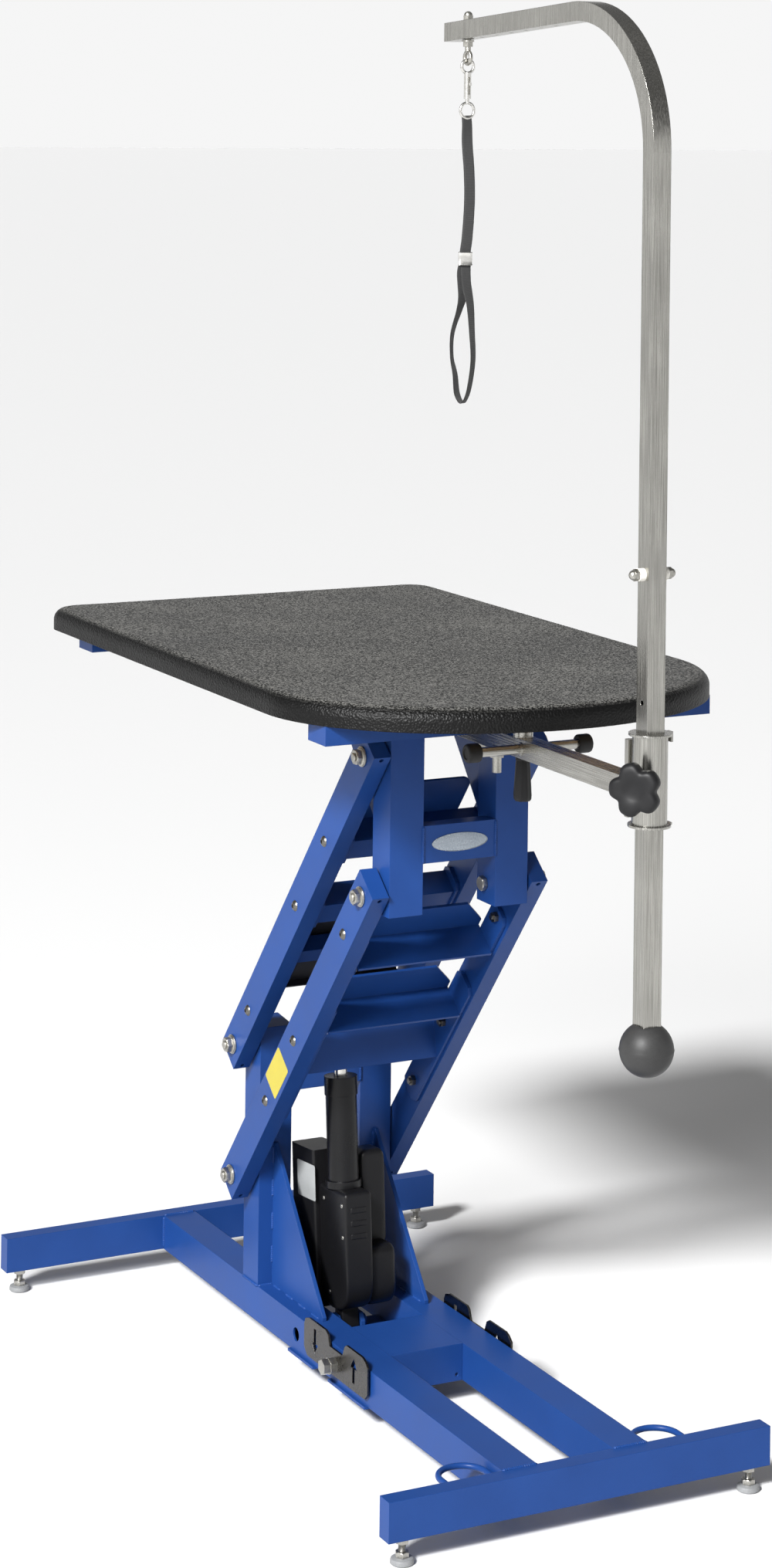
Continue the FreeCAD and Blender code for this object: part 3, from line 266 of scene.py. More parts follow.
blue = finish("blue_powder_coat", (0.0078, 0.038, 0.165), (0.0112, 0.051, 0.212), mix=0.35, patch=9.0,
              grain=1400.0, rough=(0.34, 0.46), bump=0.25, depth=0.0001, edge=0.0012, gloss=0.20)
dress(blue, "front_cross_tube", "rear_cross_tube", "base_rails", "lower_posts", "lower_gussets",
      "lower_cross_member", "switch_cover", "actuator_mount", "tie_down_loops", "left_lower_link",
      "right_lower_link", "lower_link_frame", "lower_link_brace", "left_upper_link", "right_upper_link",
      "upper_link_frame", "lifting_crossbar", "upper_posts", "upper_cross_member", "upper_gussets",
      "table_cross_tubes", "table_rails", "arm_mount_plate")

# The guard plate behind the upper links is coloured near black, unlike the blue frame: painted shade, for a
# plate seen from its shaded side.
painted_shade_guard = finish("painted_shade_guard", (0.010, 0.010, 0.012), (0.022, 0.022, 0.026), rough=(0.35, 0.5),
                     bump=0.2, depth=0.0001)
dress(painted_shade_guard, "upper_guard_plate")


# Weld beads: each joint between tubes carries a rippled bead laid by hand
# before painting, so it is blue like the steel.
def across(direction):
    """Two unit vectors square to a direction."""
    side = direction.orthogonal().normalized()
    return side, direction.cross(side).normalized()


BEAD_STEP = 0.0010      # a ring of points each millimetre
BEAD_FADE = 0.004       # a bead tapers over its last few millimetres


def bead(name, first, last, body, radius=0.0022, pitch=0.0030, seed=1):
    """A rippled weld between two points."""
    chance = random.Random(seed)
    first, last = Vector(first), Vector(last)
    run = last - first
    along = run.normalized()
    side, other = across(along)
    steps = max(4, int(run.length / BEAD_STEP))
    sides = 8
    points = []
    for i in range(steps + 1):
        s = i * run.length / steps
        swell = 1.0 + 0.16 * math.cos(2 * math.pi * s / pitch) + chance.uniform(-0.05, 0.05)
        fade = min(1.0, 0.35 + min(s, run.length - s) / BEAD_FADE)
        r = radius * swell * fade
        for k in range(sides):
            a = 2 * math.pi * k / sides
            points.append(first + along * s + side * (r * math.cos(a)) + other * (r * math.sin(a)))
    faces = []
    for i in range(steps):
        for k in range(sides):
            a, b = i * sides + k, i * sides + (k + 1) % sides
            faces.append((a, b, b + sides, a + sides))
    faces.append(tuple(range(sides))[::-1])
    faces.append(tuple(range(steps * sides, steps * sides + sides)))
    return mesh_piece(name, points, faces, blue, body)


front_low, front_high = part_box("front_cross_tube")
rear_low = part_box("rear_cross_tube")[0]
post_low, post_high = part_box("lower_posts")
up_low, up_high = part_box("upper_posts")
bar_low, bar_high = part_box("upper_cross_member")
lower_bar_low, lower_bar_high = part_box("lower_cross_member")
table_low, table_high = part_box("table_cross_tubes")
TUBE = post_high[1] - post_low[1]
POST_OUT = post_high[0]
POST_IN = POST_OUT - TUBE
FROM_EDGE = 0.002       # upright beads stop short of the tube's rounded edge
TABLE_FROM_EDGE = 0.003
rail_top = front_high[2]
table_face = table_low[1] + TUBE
front_face, rear_face = front_high[1], rear_low[1]
bead_top = rail_top - FROM_EDGE

welds = []
for side in (-1, 1):
    inner, outer = side * POST_IN, side * POST_OUT
    welds += [
        # rails to the cross tubes, over the top and down both sides
        ((inner, front_face, rail_top), (outer, front_face, rail_top), "base"),
        ((outer, front_face, bead_top), (outer, front_face, front_low[2] + FROM_EDGE), "base"),
        ((inner, front_face, bead_top), (inner, front_face, front_low[2] + FROM_EDGE), "base"),
        ((inner, rear_face, rail_top), (outer, rear_face, rail_top), "base"),
        ((outer, rear_face, bead_top), (outer, rear_face, rear_low[2] + FROM_EDGE), "base"),
        # posts to the rails
        ((inner, post_low[1], rail_top), (outer, post_low[1], rail_top), "base"),
        ((inner, post_high[1], rail_top), (outer, post_high[1], rail_top), "base"),
        ((outer, post_low[1], rail_top), (outer, post_high[1], rail_top), "base"),
        ((inner, post_low[1], rail_top), (inner, post_high[1], rail_top), "base"),
        # bars between the posts, down their ends
        ((inner, lower_bar_low[1], lower_bar_low[2]), (inner, lower_bar_low[1], lower_bar_high[2]), "base"),
        ((inner, bar_low[1], bar_low[2]), (inner, bar_low[1], bar_high[2]), "upper_frame"),
        # upper posts to the frame under the top
        ((inner, up_low[1], up_high[2]), (outer, up_low[1], up_high[2]), "upper_frame"),
        ((outer, up_low[1], up_high[2]), (outer, up_high[1], up_high[2]), "upper_frame"),
        # side tubes of the top's frame to its front cross tube
        ((outer, table_face, table_low[2] + TABLE_FROM_EDGE),
         (outer, table_face, table_high[2] - TABLE_FROM_EDGE), "upper_frame"),
    ]

# short stitches along each gusset's foot and upright edge, on both faces
gusset_low, gusset_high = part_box("lower_gussets")
top_gusset_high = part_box("upper_gussets")[1]
GUSSET_T = 0.006
STITCHES = 4
FOOT_STITCH, FOOT_PITCH = 0.024, 0.042
EDGE_STITCH, EDGE_PITCH = 0.026, 0.048
for side in (-1, 1):
    for face in (gusset_high[0], gusset_high[0] - GUSSET_T):
        x = side * face
        for part in range(STITCHES):
            y0 = gusset_low[1] + 0.012 + part * FOOT_PITCH
            z0 = gusset_low[2] + 0.030 + part * EDGE_PITCH
            z1 = top_gusset_high[2] - 0.020 - part * EDGE_PITCH
            welds += [
                ((x, y0, rail_top), (x, y0 + FOOT_STITCH, rail_top), "base"),
                ((x, post_low[1], z0), (x, post_low[1], z0 + EDGE_STITCH), "base"),
                ((x, up_high[1], z1 - EDGE_STITCH), (x, up_high[1], z1), "upper_frame"),
            ]
for number, (first, last, body) in enumerate(welds, 1):
    bead("weld_%02d" % number, first, last, body, seed=number)


# ------------------------------------------------------------ pivot bolts
# Zinc-plated M12 bolts carry the four link pivots on each side: a head inside
# the post, a thrust washer between post and link, then outside the link a
# flat washer, a flange nut with a chamfered hexagon and the threaded end.
zinc = finish("zinc_plate", (0.30, 0.29, 0.265), (0.52, 0.51, 0.47), mix=0.6, patch=60.0, grain=500.0,
              rough=(0.28, 0.48), metal=1.0, bump=0.15, depth=0.0001, edge=0.0004)


def ring_stack(name, rings, material, body, smooth=40.0, caps=True):
    """A closed skin through rings of equally many points."""
    size = len(rings[0])
    points = [p for ring in rings for p in ring]
    faces = []
    for i in range(len(rings) - 1):
        for k in range(size):
            a, b = i * size + k, i * size + (k + 1) % size
            faces.append((a, b, b + size, a + size))
    if caps:
        faces.append(tuple(range(size))[::-1])
        faces.append(tuple(range((len(rings) - 1) * size, len(rings) * size)))
    return mesh_piece(name, points, faces, material, body, smooth)


def turned(name, centre, axis, profile, material, body, sides=40, smooth=40.0, lobes=0, lobe=0.0):
    """A piece turned about an axis, fluted if it has lobes. Profile is (distance along, radius) pairs."""
    axis = Vector(axis).normalized()
    side, other = across(axis)
    rings = []
    for along, radius in profile:
        ring = []
        for k in range(sides):
            a = 2 * math.pi * k / sides
            r = radius * (1.0 + lobe * math.cos(lobes * a)) if lobes else radius
            ring.append(Vector(centre) + axis * along + side * (r * math.cos(a)) + other * (r * math.sin(a)))
        rings.append(ring)
    return ring_stack(name, rings, material, body, smooth)


def hexagonal(name, centre, axis, flats, low, high, material, body, phase=0.0):
    """A hexagon with both faces chamfered round, as a nut has."""
    axis = Vector(axis).normalized()
    side, other = across(axis)
    sides = 48
    corner = flats / 2 / math.cos(math.pi / 6)
    chamfer = (corner - flats / 2) * 0.62
    face = flats / 2 * 0.98
    rings = []
    for along, limit in ((low, face), (low + chamfer, corner), (high - chamfer, corner), (high, face)):
        ring = []
        for k in range(sides):
            a = 2 * math.pi * k / sides + phase
            wedge = ((a - phase) % (math.pi / 3)) - math.pi / 6
            r = min(flats / 2 / math.cos(wedge), limit)
            ring.append(Vector(centre) + axis * along + side * (r * math.cos(a)) + other * (r * math.sin(a)))
        rings.append(ring)
    return ring_stack(name, rings, material, body, smooth=25.0)


def thread_profile(low, high, radius, pitch=0.00175, deep=0.0008):
    """A threaded end: rings that rise and fall by the thread's depth, and a chamfer."""
    profile = [(low, radius - deep)]
    turns = int((high - low - 0.0015) / pitch)
    for k in range(turns):
        profile.append((low + k * pitch + 0.25 * pitch, radius))
        profile.append((low + k * pitch + 0.75 * pitch, radius - deep))
    profile.append((high - 0.0012, radius - 0.0001))
    profile.append((high, radius - 0.0014))
    return profile


BOLT_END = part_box("lower_pivot_bolts")[1][0]
LINK_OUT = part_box("right_lower_link")[1][0]
BOLT_R = 0.006
WASHER_IN, WASHER_EDGE, WASHER_R = 0.0100, 0.0134, 0.0138
FLANGE_IN, FLANGE_R = 0.0080, 0.0126
NUT_FLATS, HEAD_FLATS, HEAD_H = 0.019, 0.018, 0.0078
THRUST_R, THRUST_T = 0.0118, 0.003
lift, upper, levelling = pivots["lift"], pivots["upper_link_swing"], pivots["table_level"]
open_pivot = levelling + (upper - lift)
made_bolts = {"base": [], "upper_frame": []}
for body, group in (("base", (lift, upper)), ("upper_frame", (levelling, open_pivot))):
    for number, pivot in enumerate(group):
        for side in (-1, 1):
            tag = "%s_%d_%s" % (body, number, "l" if side < 0 else "r")
            axis = Vector((side, 0, 0))
            at = Vector((0, pivot.y, pivot.z))
            spin = 0.3 + 0.5 * number + (0.2 if side > 0 else 0.0)
            washer = [(LINK_OUT + 0.0002, WASHER_IN), (LINK_OUT + 0.0002, WASHER_EDGE),
                      (LINK_OUT + 0.0006, WASHER_R), (LINK_OUT + 0.0022, WASHER_R),
                      (LINK_OUT + 0.0026, WASHER_EDGE), (LINK_OUT + 0.0026, WASHER_IN)]
            flange = [(LINK_OUT + 0.0026, FLANGE_IN), (LINK_OUT + 0.0026, 0.0124),
                      (LINK_OUT + 0.0034, FLANGE_R), (LINK_OUT + 0.0050, 0.0104),
                      (LINK_OUT + 0.0052, FLANGE_IN)]
            thread = thread_profile(POST_OUT - 0.02, BOLT_END, BOLT_R)
            thrust = [(POST_OUT, THRUST_R), (POST_OUT + THRUST_T, THRUST_R)]
            made_bolts[body] += [
                turned("pivot_washer_" + tag, at, axis, washer, zinc, body),
                turned("pivot_flange_" + tag, at, axis, flange, zinc, body),
                hexagonal("pivot_nut_" + tag, at, axis, NUT_FLATS, LINK_OUT + 0.0042, LINK_OUT + 0.0124, zinc,
                          body, spin),
                turned("pivot_end_" + tag, at, axis, thread, zinc, body),
                hexagonal("pivot_head_" + tag, at, axis, HEAD_FLATS, POST_IN - HEAD_H, POST_IN, zinc,
                          body, spin),
                turned("pivot_thrust_" + tag, at, axis, thrust, zinc, body)]
for piece in made_bolts["base"]:
    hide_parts("lower_pivot_bolts")
for piece in made_bolts["upper_frame"]:
    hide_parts("upper_pivot_bolts")


# ---------------------------------------------------------------- link screws
# Button screws with a hexagon socket, and their nuts, hold the side tabs to
# the links. Screws and nuts alike are black oxide, slightly worn.
oxide = finish("black_oxide", (0.11, 0.105, 0.095), (0.24, 0.23, 0.21), mix=0.6, patch=80.0, grain=700.0,
               rough=(0.25, 0.42), metal=1.0, bump=0.15, depth=0.0001, edge=0.0003)
dress(oxide, "lower_link_screws", "upper_link_screws")


# ------------------------------------------------------------------ tabletop
# A plywood board under a moulded black rubber cover: pebbled all over, with
# a thick rolled edge. The pebbles are two to three millimetres across.
cover, tree, shader = simple_material("pebbled_rubber")
where = add_node(tree, "TexCoord")
pebbles = add_node(tree, "TexVoronoi", feature="SMOOTH_F1")
pebbles.inputs["Scale"].default_value = 330.0
pebbles.inputs["Smoothness"].default_value = 0.4
speck = add_node(tree, "TexNoise")
speck.inputs["Scale"].default_value = 400.0
speck.inputs["Detail"].default_value = 3.0
cloud = add_node(tree, "TexNoise")
cloud.inputs["Scale"].default_value = 7.0
cloud.inputs["Detail"].default_value = 5.0
together = add_node(tree, "Mix", data_type="FLOAT")
together.inputs[0].default_value = 0.15
# The speckle is partly the rubber's own dark flecks and partly painted highlight: its lighter flecks stand in
# for the pebbles' glints.
flecks_and_painted_glints = colour_steps(tree, [(0.42, (0.004, 0.004, 0.004)), (0.49, (0.030, 0.030, 0.028)),
                             (0.57, (0.150, 0.147, 0.138))])
shine = add_node(tree, "MapRange")
shine.inputs["To Min"].default_value = 0.34
shine.inputs["To Max"].default_value = 0.58
relief = add_node(tree, "Bump")
relief.inputs["Strength"].default_value = 0.9
relief.inputs["Distance"].default_value = 0.0010
fine = add_node(tree, "Bump")
fine.inputs["Strength"].default_value = 0.35
fine.inputs["Distance"].default_value = 0.0004
soften = add_node(tree, "Bevel", samples=4)
soften.inputs["Radius"].default_value = 0.002
for texture in (pebbles, speck, cloud):
    tree.links.new(where.outputs["Object"], texture.inputs["Vector"])
tree.links.new(speck.outputs["Fac"], together.inputs[2])
tree.links.new(cloud.outputs["Fac"], together.inputs[3])
tree.links.new(together.outputs[0], flecks_and_painted_glints.inputs[0])
# Painted shade: faces of the cover that turn away from straight up, the rolled edge, get a near-black colour
# in place of the speckle, though they are the same rubber as the top.
facing = add_node(tree, "NewGeometry")
parts = add_node(tree, "SeparateXYZ")
painted_shade_mask = add_node(tree, "MapRange")
painted_shade_mask.inputs["From Min"].default_value = 0.75
painted_shade_mask.inputs["From Max"].default_value = 0.97
# the near-black colour of the painted shade on the cover's sides
painted_shade_mix = add_node(tree, "Mix", data_type="RGBA")
painted_shade_mix.inputs[6].default_value = (0.0015, 0.0015, 0.0015, 1.0)
tree.links.new(facing.outputs["True Normal"], parts.inputs[0])
tree.links.new(parts.outputs[2], painted_shade_mask.inputs[0])
tree.links.new(painted_shade_mask.outputs[0], painted_shade_mix.inputs[0])
tree.links.new(flecks_and_painted_glints.outputs[0], painted_shade_mix.inputs[7])
tree.links.new(painted_shade_mix.outputs[2], shader.inputs["Base Color"])
tree.links.new(cloud.outputs["Fac"], shine.inputs[0])
tree.links.new(shine.outputs[0], shader.inputs["Roughness"])
tree.links.new(soften.outputs[0], relief.inputs["Normal"])
tree.links.new(pebbles.outputs["Distance"], relief.inputs["Height"])
tree.links.new(relief.outputs[0], fine.inputs["Normal"])
tree.links.new(speck.outputs["Fac"], fine.inputs["Height"])
tree.links.new(fine.outputs[0], shader.inputs["Normal"])
shader.inputs["Specular IOR Level"].default_value = 0.22
dress(cover, "tabletop_cover")

board = finish("birch_plywood", (0.22, 0.14, 0.07), (0.46, 0.32, 0.18), mix=0.7, patch=5.0, grain=60.0,
               stretch=(1.0, 0.06, 1.0), rough=(0.5, 0.7), bump=0.3, depth=0.0003)
dress(board, "tabletop_board")


# ------------------------------------------------------------ steel tubework
# The swing arm, its cross bar, the sleeve and the bent mast are stainless
# steel, brushed along their length. The pedals are a darker cut plate, and
# the small hardware is zinc-plated.
def brushed(name, stretch, dark=(0.26, 0.255, 0.235), light=(0.52, 0.51, 0.475)):
    return finish(name, dark, light, mix=0.75, patch=14.0, grain=260.0, stretch=stretch,
                  rough=(0.17, 0.34), metal=1.0, bump=0.25, depth=0.0001, edge=0.0010)


mast_steel = brushed("stainless_mast", (3.0, 3.0, 0.04))
arm_steel = brushed("stainless_arm", (3.0, 0.04, 3.0))
bar_steel = brushed("stainless_cross_bar", (0.04, 3.0, 3.0))
pedal_steel = finish("pedal_steel", (0.055, 0.053, 0.050), (0.115, 0.110, 0.105), mix=0.5, patch=30.0,
                     grain=300.0, rough=(0.22, 0.36), metal=1.0, bump=0.1, depth=0.0001, edge=0.0012)
dress(mast_steel, "mast_tube", "mast_sleeve")
dress(arm_steel, "support_arm")
dress(bar_steel, "cross_bar")
dress(pedal_steel, "pedals")
dress(zinc, "foot_nuts", "pedal_shaft", "arm_pivot_bolt", "stop_bolt", "eye_bolt")

nylon = finish("natural_nylon", (0.70, 0.68, 0.62), (0.84, 0.82, 0.77), patch=40.0, grain=600.0,
               rough=(0.35, 0.5), bump=0.1, edge=0.0008)
dress(nylon, "stop_spacers")


# -------------------------------------------------- knob, handle, caps, ball
# Moulded black grips: a five-lobed star knob with a rounded rim, a tapered
# handle, rubber caps on the cross bar and the bumper ball below the mast.
grip = finish("moulded_black", (0.004, 0.004, 0.0045), (0.010, 0.010, 0.011), mix=0.5, patch=20.0,
              grain=1100.0, rough=(0.38, 0.55), bump=0.3, depth=0.00012, edge=0.0012, gloss=0.28)
soft_black = finish("black_rubber", (0.005, 0.005, 0.005), (0.011, 0.011, 0.011), mix=0.5, patch=30.0,
                    grain=800.0, rough=(0.45, 0.62), bump=0.3, depth=0.00015, edge=0.0010, gloss=0.3)

knob_axis = axes["knob_turn"]
knob_at = pivots["knob_turn"]
KNOB_BACK, KNOB_THICK, KNOB_R = 0.044, 0.020, 0.0335
KNOB_SIDES, KNOB_LOBES, LOBE_DEPTH = 120, 5, 0.22
knob_profile = [(-0.0090, 0.0100), (-0.0085, 0.0112), (-0.0005, 0.0120)]
# the grip's rounded rim and dished face, as shares of its thickness and radius
for thick, wide in ((0.02, 0.80), (0.10, 0.93), (0.25, 0.985), (0.50, 1.0), (0.75, 0.985), (0.90, 0.93),
                    (0.98, 0.84), (1.0, 0.70), (0.985, 0.35), (0.975, 0.34), (0.97, 0.05)):
    knob_profile.append((KNOB_THICK * thick, KNOB_R * wide))
side, other = across(knob_axis)
rings = []
for along, radius in knob_profile:
    ring = []
    for k in range(KNOB_SIDES):
        a = 2 * math.pi * k / KNOB_SIDES
        scallop = 1.0 - LOBE_DEPTH * (0.5 - 0.5 * math.cos(KNOB_LOBES * a)) ** 2.2
        share = min(1.0, max(0.0, (radius / KNOB_R - 0.36) / 0.40))
        r = radius * (1.0 + share * (scallop - 1.0))
        base = knob_at + knob_axis * (KNOB_BACK + along)
        ring.append(base + side * (r * math.cos(a)) + other * (r * math.sin(a)))
    rings.append(ring)
knob = ring_stack("star_knob_grip", rings, grip, "knob", smooth=50.0)
screw = turned("star_knob_screw", knob_at, knob_axis, [(0.0186, 0.0036), (0.0190, 0.0040), (0.0450, 0.0040)],
               zinc, "knob")
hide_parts("star_knob")
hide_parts("star_knob")

handle_low, handle_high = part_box("clamp_handle")
handle_at = Vector((pivots["clamp_turn"].x, pivots["clamp_turn"].y, 0.0))
low_z = handle_low[2]
GRIP_LEN = 0.054
grip_profile = [(low_z, 0.0060), (low_z + 0.0008, 0.0100), (low_z + 0.0030, 0.0116), (low_z + 0.0080, 0.0120),
                (low_z + GRIP_LEN * 0.6, 0.0106), (low_z + GRIP_LEN - 0.002, 0.0093),
                (low_z + GRIP_LEN, 0.0088), (low_z + GRIP_LEN + 0.0005, 0.0098),
                (low_z + GRIP_LEN + 0.0045, 0.0098)]
handle = turned("clamp_grip", handle_at, (0, 0, 1), grip_profile, grip, "clamp", sides=72, smooth=60.0,
                lobes=8, lobe=0.035)
stem = turned("clamp_stem", handle_at, (0, 0, 1), [(low_z + GRIP_LEN, 0.005), (handle_high[2], 0.005)], zinc,
              "clamp")
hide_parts("clamp_handle")
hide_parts("clamp_handle")

cap_low, cap_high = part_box("bar_end_caps")
cap_z = (cap_low[2] + cap_high[2]) / 2
cap_y = (cap_low[1] + cap_high[1]) / 2
CAP_R = (cap_high[2] - cap_low[2]) / 2
CAP_IN = cap_high[0] - 0.019
for side_name, sign in (("left", -1), ("right", 1)):
    profile = [(CAP_IN, CAP_R * 0.50), (CAP_IN, CAP_R * 0.88), (CAP_IN + 0.0015, CAP_R * 0.98),
               (CAP_IN + 0.0035, CAP_R), (cap_high[0] - 0.0035, CAP_R), (cap_high[0] - 0.0012, CAP_R * 0.95),
               (cap_high[0], CAP_R * 0.84), (cap_high[0], CAP_R * 0.62), (cap_high[0] - 0.0012, CAP_R * 0.58),
               (cap_high[0] - 0.0012, CAP_R * 0.05)]
    cap = turned("bar_cap_" + side_name, (0, cap_y, cap_z), (sign, 0, 0), profile, soft_black, "swing_arm",
                 sides=56, smooth=50.0)
    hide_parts("bar_end_caps")

ball_low, ball_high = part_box("ball_bumper")
BALL_R = (ball_high[0] - ball_low[0]) / 2
ball_at = Vector((0, (ball_low[1] + ball_high[1]) / 2, ball_low[2] + BALL_R))
ball_profile = []
BALL_STEPS = 40
NECK = 0.0182
SEAM = 0.0006           # the moulding line round the ball's middle stands proud by this
for k in range(BALL_STEPS + 1):
    a = math.pi * k / BALL_STEPS
    z, r = -BALL_R * math.cos(a), BALL_R * math.sin(a)
    if z > 0 and r < NECK:
        break
    r = max(r, 0.0006)
    if abs(k - BALL_STEPS / 2) < 0.6:
        r += SEAM
    ball_profile.append((z, r))
ball_profile.append((ball_profile[-1][0] + 0.0022, NECK - 0.0008))
ball_grey = finish("ball_rubber", (0.020, 0.020, 0.020), (0.034, 0.034, 0.034), mix=0.5, patch=30.0,
                   grain=700.0, rough=(0.42, 0.58), bump=0.3, depth=0.00015, gloss=0.35)
ball = turned("ball_skin", ball_at, (0, 0, 1), ball_profile, ball_grey, "mast", sides=72, smooth=50.0)
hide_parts("ball_bumper")


# -------------------------------------------------------- snap, strap, lock
# A nickel-plated bolt snap hangs from the eye bolt; a black webbing noose
# is folded over its ring, and a stamped slide lock closes the loop.
nickel = finish("nickel_plate", (0.58, 0.57, 0.54), (0.78, 0.77, 0.74), mix=0.5, patch=80.0, grain=500.0,
                rough=(0.14, 0.28), metal=1.0, bump=0.08, depth=0.0001, edge=0.0004)
dress(nickel, "snap_hook", "snap_swivel", "snap_trigger", "actuator_rod")

loop_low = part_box("noose")[0][2]
lock_low, lock_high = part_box("noose_lock")
strap_y = pivots["noose_sway"].y
lock_z = (lock_low[2] + lock_high[2]) / 2
ring_z = pivots["noose_sway"].z
HALF_WIDTH = 0.0066
HALF_THICK = 0.0008
LOCK_TURN = -27.0       # degrees that the lock and the strap in it face round

webbing, tree, shader = simple_material("black_webbing")
where = add_node(tree, "UVMap")
weave = add_node(tree, "TexWave", wave_type="BANDS", bands_direction="Y")
weave.inputs["Scale"].default_value = 1.0
weave.inputs["Distortion"].default_value = 0.6
weave.inputs["Detail"].default_value = 2.0
ribs = add_node(tree, "TexWave", wave_type="BANDS", bands_direction="X")
ribs.inputs["Scale"].default_value = 1.0
crossing = add_node(tree, "Math", operation="MULTIPLY")
threads = colour_steps(tree, [(0.0, (0.004, 0.004, 0.004)), (1.0, (0.030, 0.030, 0.031))])
relief = add_node(tree, "Bump")
relief.inputs["Strength"].default_value = 0.8
relief.inputs["Distance"].default_value = 0.0004
tree.links.new(where.outputs[0], weave.inputs["Vector"])
tree.links.new(where.outputs[0], ribs.inputs["Vector"])
tree.links.new(weave.outputs["Fac"], crossing.inputs[0])
tree.links.new(ribs.outputs["Fac"], crossing.inputs[1])
tree.links.new(crossing.outputs[0], threads.inputs[0])
tree.links.new(threads.outputs[0], shader.inputs["Base Color"])
tree.links.new(crossing.outputs[0], relief.inputs["Height"])
tree.links.new(relief.outputs[0], shader.inputs["Normal"])
shader.inputs["Roughness"].default_value = 0.75
shader.inputs["Sheen Weight"].default_value = 0.25


def smooth_path(knots, steps):
    """Catmull-Rom through knots of numbers: the same easing for place and turn."""
    out = []
    for i in range(len(knots) - 1):
        a = knots[max(i - 1, 0)]
        b, c = knots[i], knots[i + 1]
        d = knots[min(i + 2, len(knots) - 1)]
        for s in range(steps):
            t = s / steps
            row = []
            for p, q, r, w in zip(a, b, c, d):
                row.append(0.5 * (2 * q + (r - p) * t + (2 * p - 5 * q + 4 * r - w) * t * t
                                  + (3 * q - p - 3 * r + w) * t ** 3))
            out.append(row)
    out.append(list(knots[-1]))
    return out


def strap(name, knots, body, steps=14, half_width=HALF_WIDTH):
    """Flat webbing along knots of (x, y, z, degrees its flat is turned)."""
    rows = smooth_path(knots, steps)
    outline = [(-1.0, 0.0), (-0.97, 0.75), (-0.80, 1.0), (-0.4, 0.86), (0.0, 0.92), (0.4, 0.86),
               (0.80, 1.0), (0.97, 0.75), (1.0, 0.0), (0.97, -0.75), (0.80, -1.0), (0.4, -0.86),
               (0.0, -0.92), (-0.4, -0.86), (-0.80, -1.0), (-0.97, -0.75)]
    rings = []
    for i, (x, y, z, degrees) in enumerate(rows):
        here = Vector((x, y, z))
        before, after = rows[max(i - 1, 0)], rows[min(i + 1, len(rows) - 1)]
        along = (Vector(after[:3]) - Vector(before[:3])).normalized()
        wide = Vector((math.cos(math.radians(degrees)), math.sin(math.radians(degrees)), 0.0))
        wide = (wide - along * wide.dot(along)).normalized()
        thick = along.cross(wide)
        rings.append([here + wide * (u * half_width) + thick * (v * HALF_THICK) for u, v in outline])
    piece = ring_stack(name, rings, webbing, body, smooth=70.0)
    layer = piece.data.uv_layers.new(name="weave")
    size = len(outline)
    for loop in piece.data.loops:
        row, spot = divmod(loop.vertex_index, size)
        layer.data[loop.index].uv = (outline[spot][0] * 1.6, row * 0.42)
    return piece


LOOP_TURN = 40.0        # degrees that the loop hangs round from the table's length


def beside_lock(z, offset, depth, turn):
    """A point of the strap, set off sideways and in depth from the lock's upright."""
    a = math.radians(LOOP_TURN)
    return (-math.sin(a) * offset + math.cos(a) * depth, strap_y + math.cos(a) * offset + math.sin(a) * depth,
            z, turn)


drop = lock_z - loop_low
riser = [(0.0, strap_y, ring_z + 0.0036, 0.0), (0.0006, strap_y - 0.001, ring_z - 0.010, -4.0),
         (0.0012, strap_y - 0.001, ring_z - 0.035, -24.0), (0.0042, strap_y - 0.002, ring_z - 0.075, -30.0),
         (0.0052, strap_y - 0.002, ring_z - 0.115, -27.0), (0.0030, strap_y - 0.001, ring_z - 0.160, -26.0),
         (0.0, strap_y, lock_z + 0.004, LOCK_TURN), (-0.0004, strap_y, lock_z - 0.010, LOCK_TURN)]
under = [(x - 0.0010, y + 0.0017, z, turn) for x, y, z, turn in riser]
loop_knots = [
    beside_lock(lock_z - 0.004, 0.0010, 0.0, LOCK_TURN),
    beside_lock(lock_z - 0.020, 0.0050, 0.0, -20.0),
    beside_lock(lock_z - drop * 0.26, 0.0040, 0.0010, 0.0),
    beside_lock(lock_z - drop * 0.36, 0.0085, 0.0012, 26.0),
    beside_lock(lock_z - drop * 0.52, 0.0175, 0.0, 40.0),
    beside_lock(lock_z - drop * 0.68, 0.0180, 0.0, 44.0),
    beside_lock(lock_z - drop * 0.80, 0.0130, 0.0, 34.0),
    beside_lock(lock_z - drop * 0.93, 0.0100, 0.0, 28.0),
    beside_lock(loop_low + 0.0010, 0.0030, 0.0, 34.0),
    beside_lock(loop_low + 0.0060, -0.0030, 0.0, 38.0),
    beside_lock(lock_z - drop * 0.88, -0.0085, 0.0, 36.0),
    beside_lock(lock_z - drop * 0.70, -0.0130, 0.0, 34.0),
    beside_lock(lock_z - drop * 0.50, -0.0110, 0.0, 28.0),
    beside_lock(lock_z - drop * 0.32, -0.0080, 0.0, 14.0),
    beside_lock(lock_z - drop * 0.16, -0.0020, 0.0, -12.0),
    beside_lock(lock_z - 0.004, -0.0008, 0.0, LOCK_TURN),
]
for piece in (strap("noose_front", riser, "noose_strap"), strap("noose_back", under, "noose_strap"),
              strap("noose_loop", loop_knots, "noose_strap", steps=16)):
    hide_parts("noose")

# the slide lock: a stamped sleeve with rolled lips, open at both ends
LOCK_HALF_W, LOCK_HALF_T = 0.0092, 0.0040
LOCK_SQUARENESS = 0.35  # under one gives a rounded rectangle, one an oval
lock_angle = math.radians(LOCK_TURN)
wide = Vector((math.cos(lock_angle), math.sin(lock_angle), 0))
deep = Vector((-math.sin(lock_angle), math.cos(lock_angle), 0))


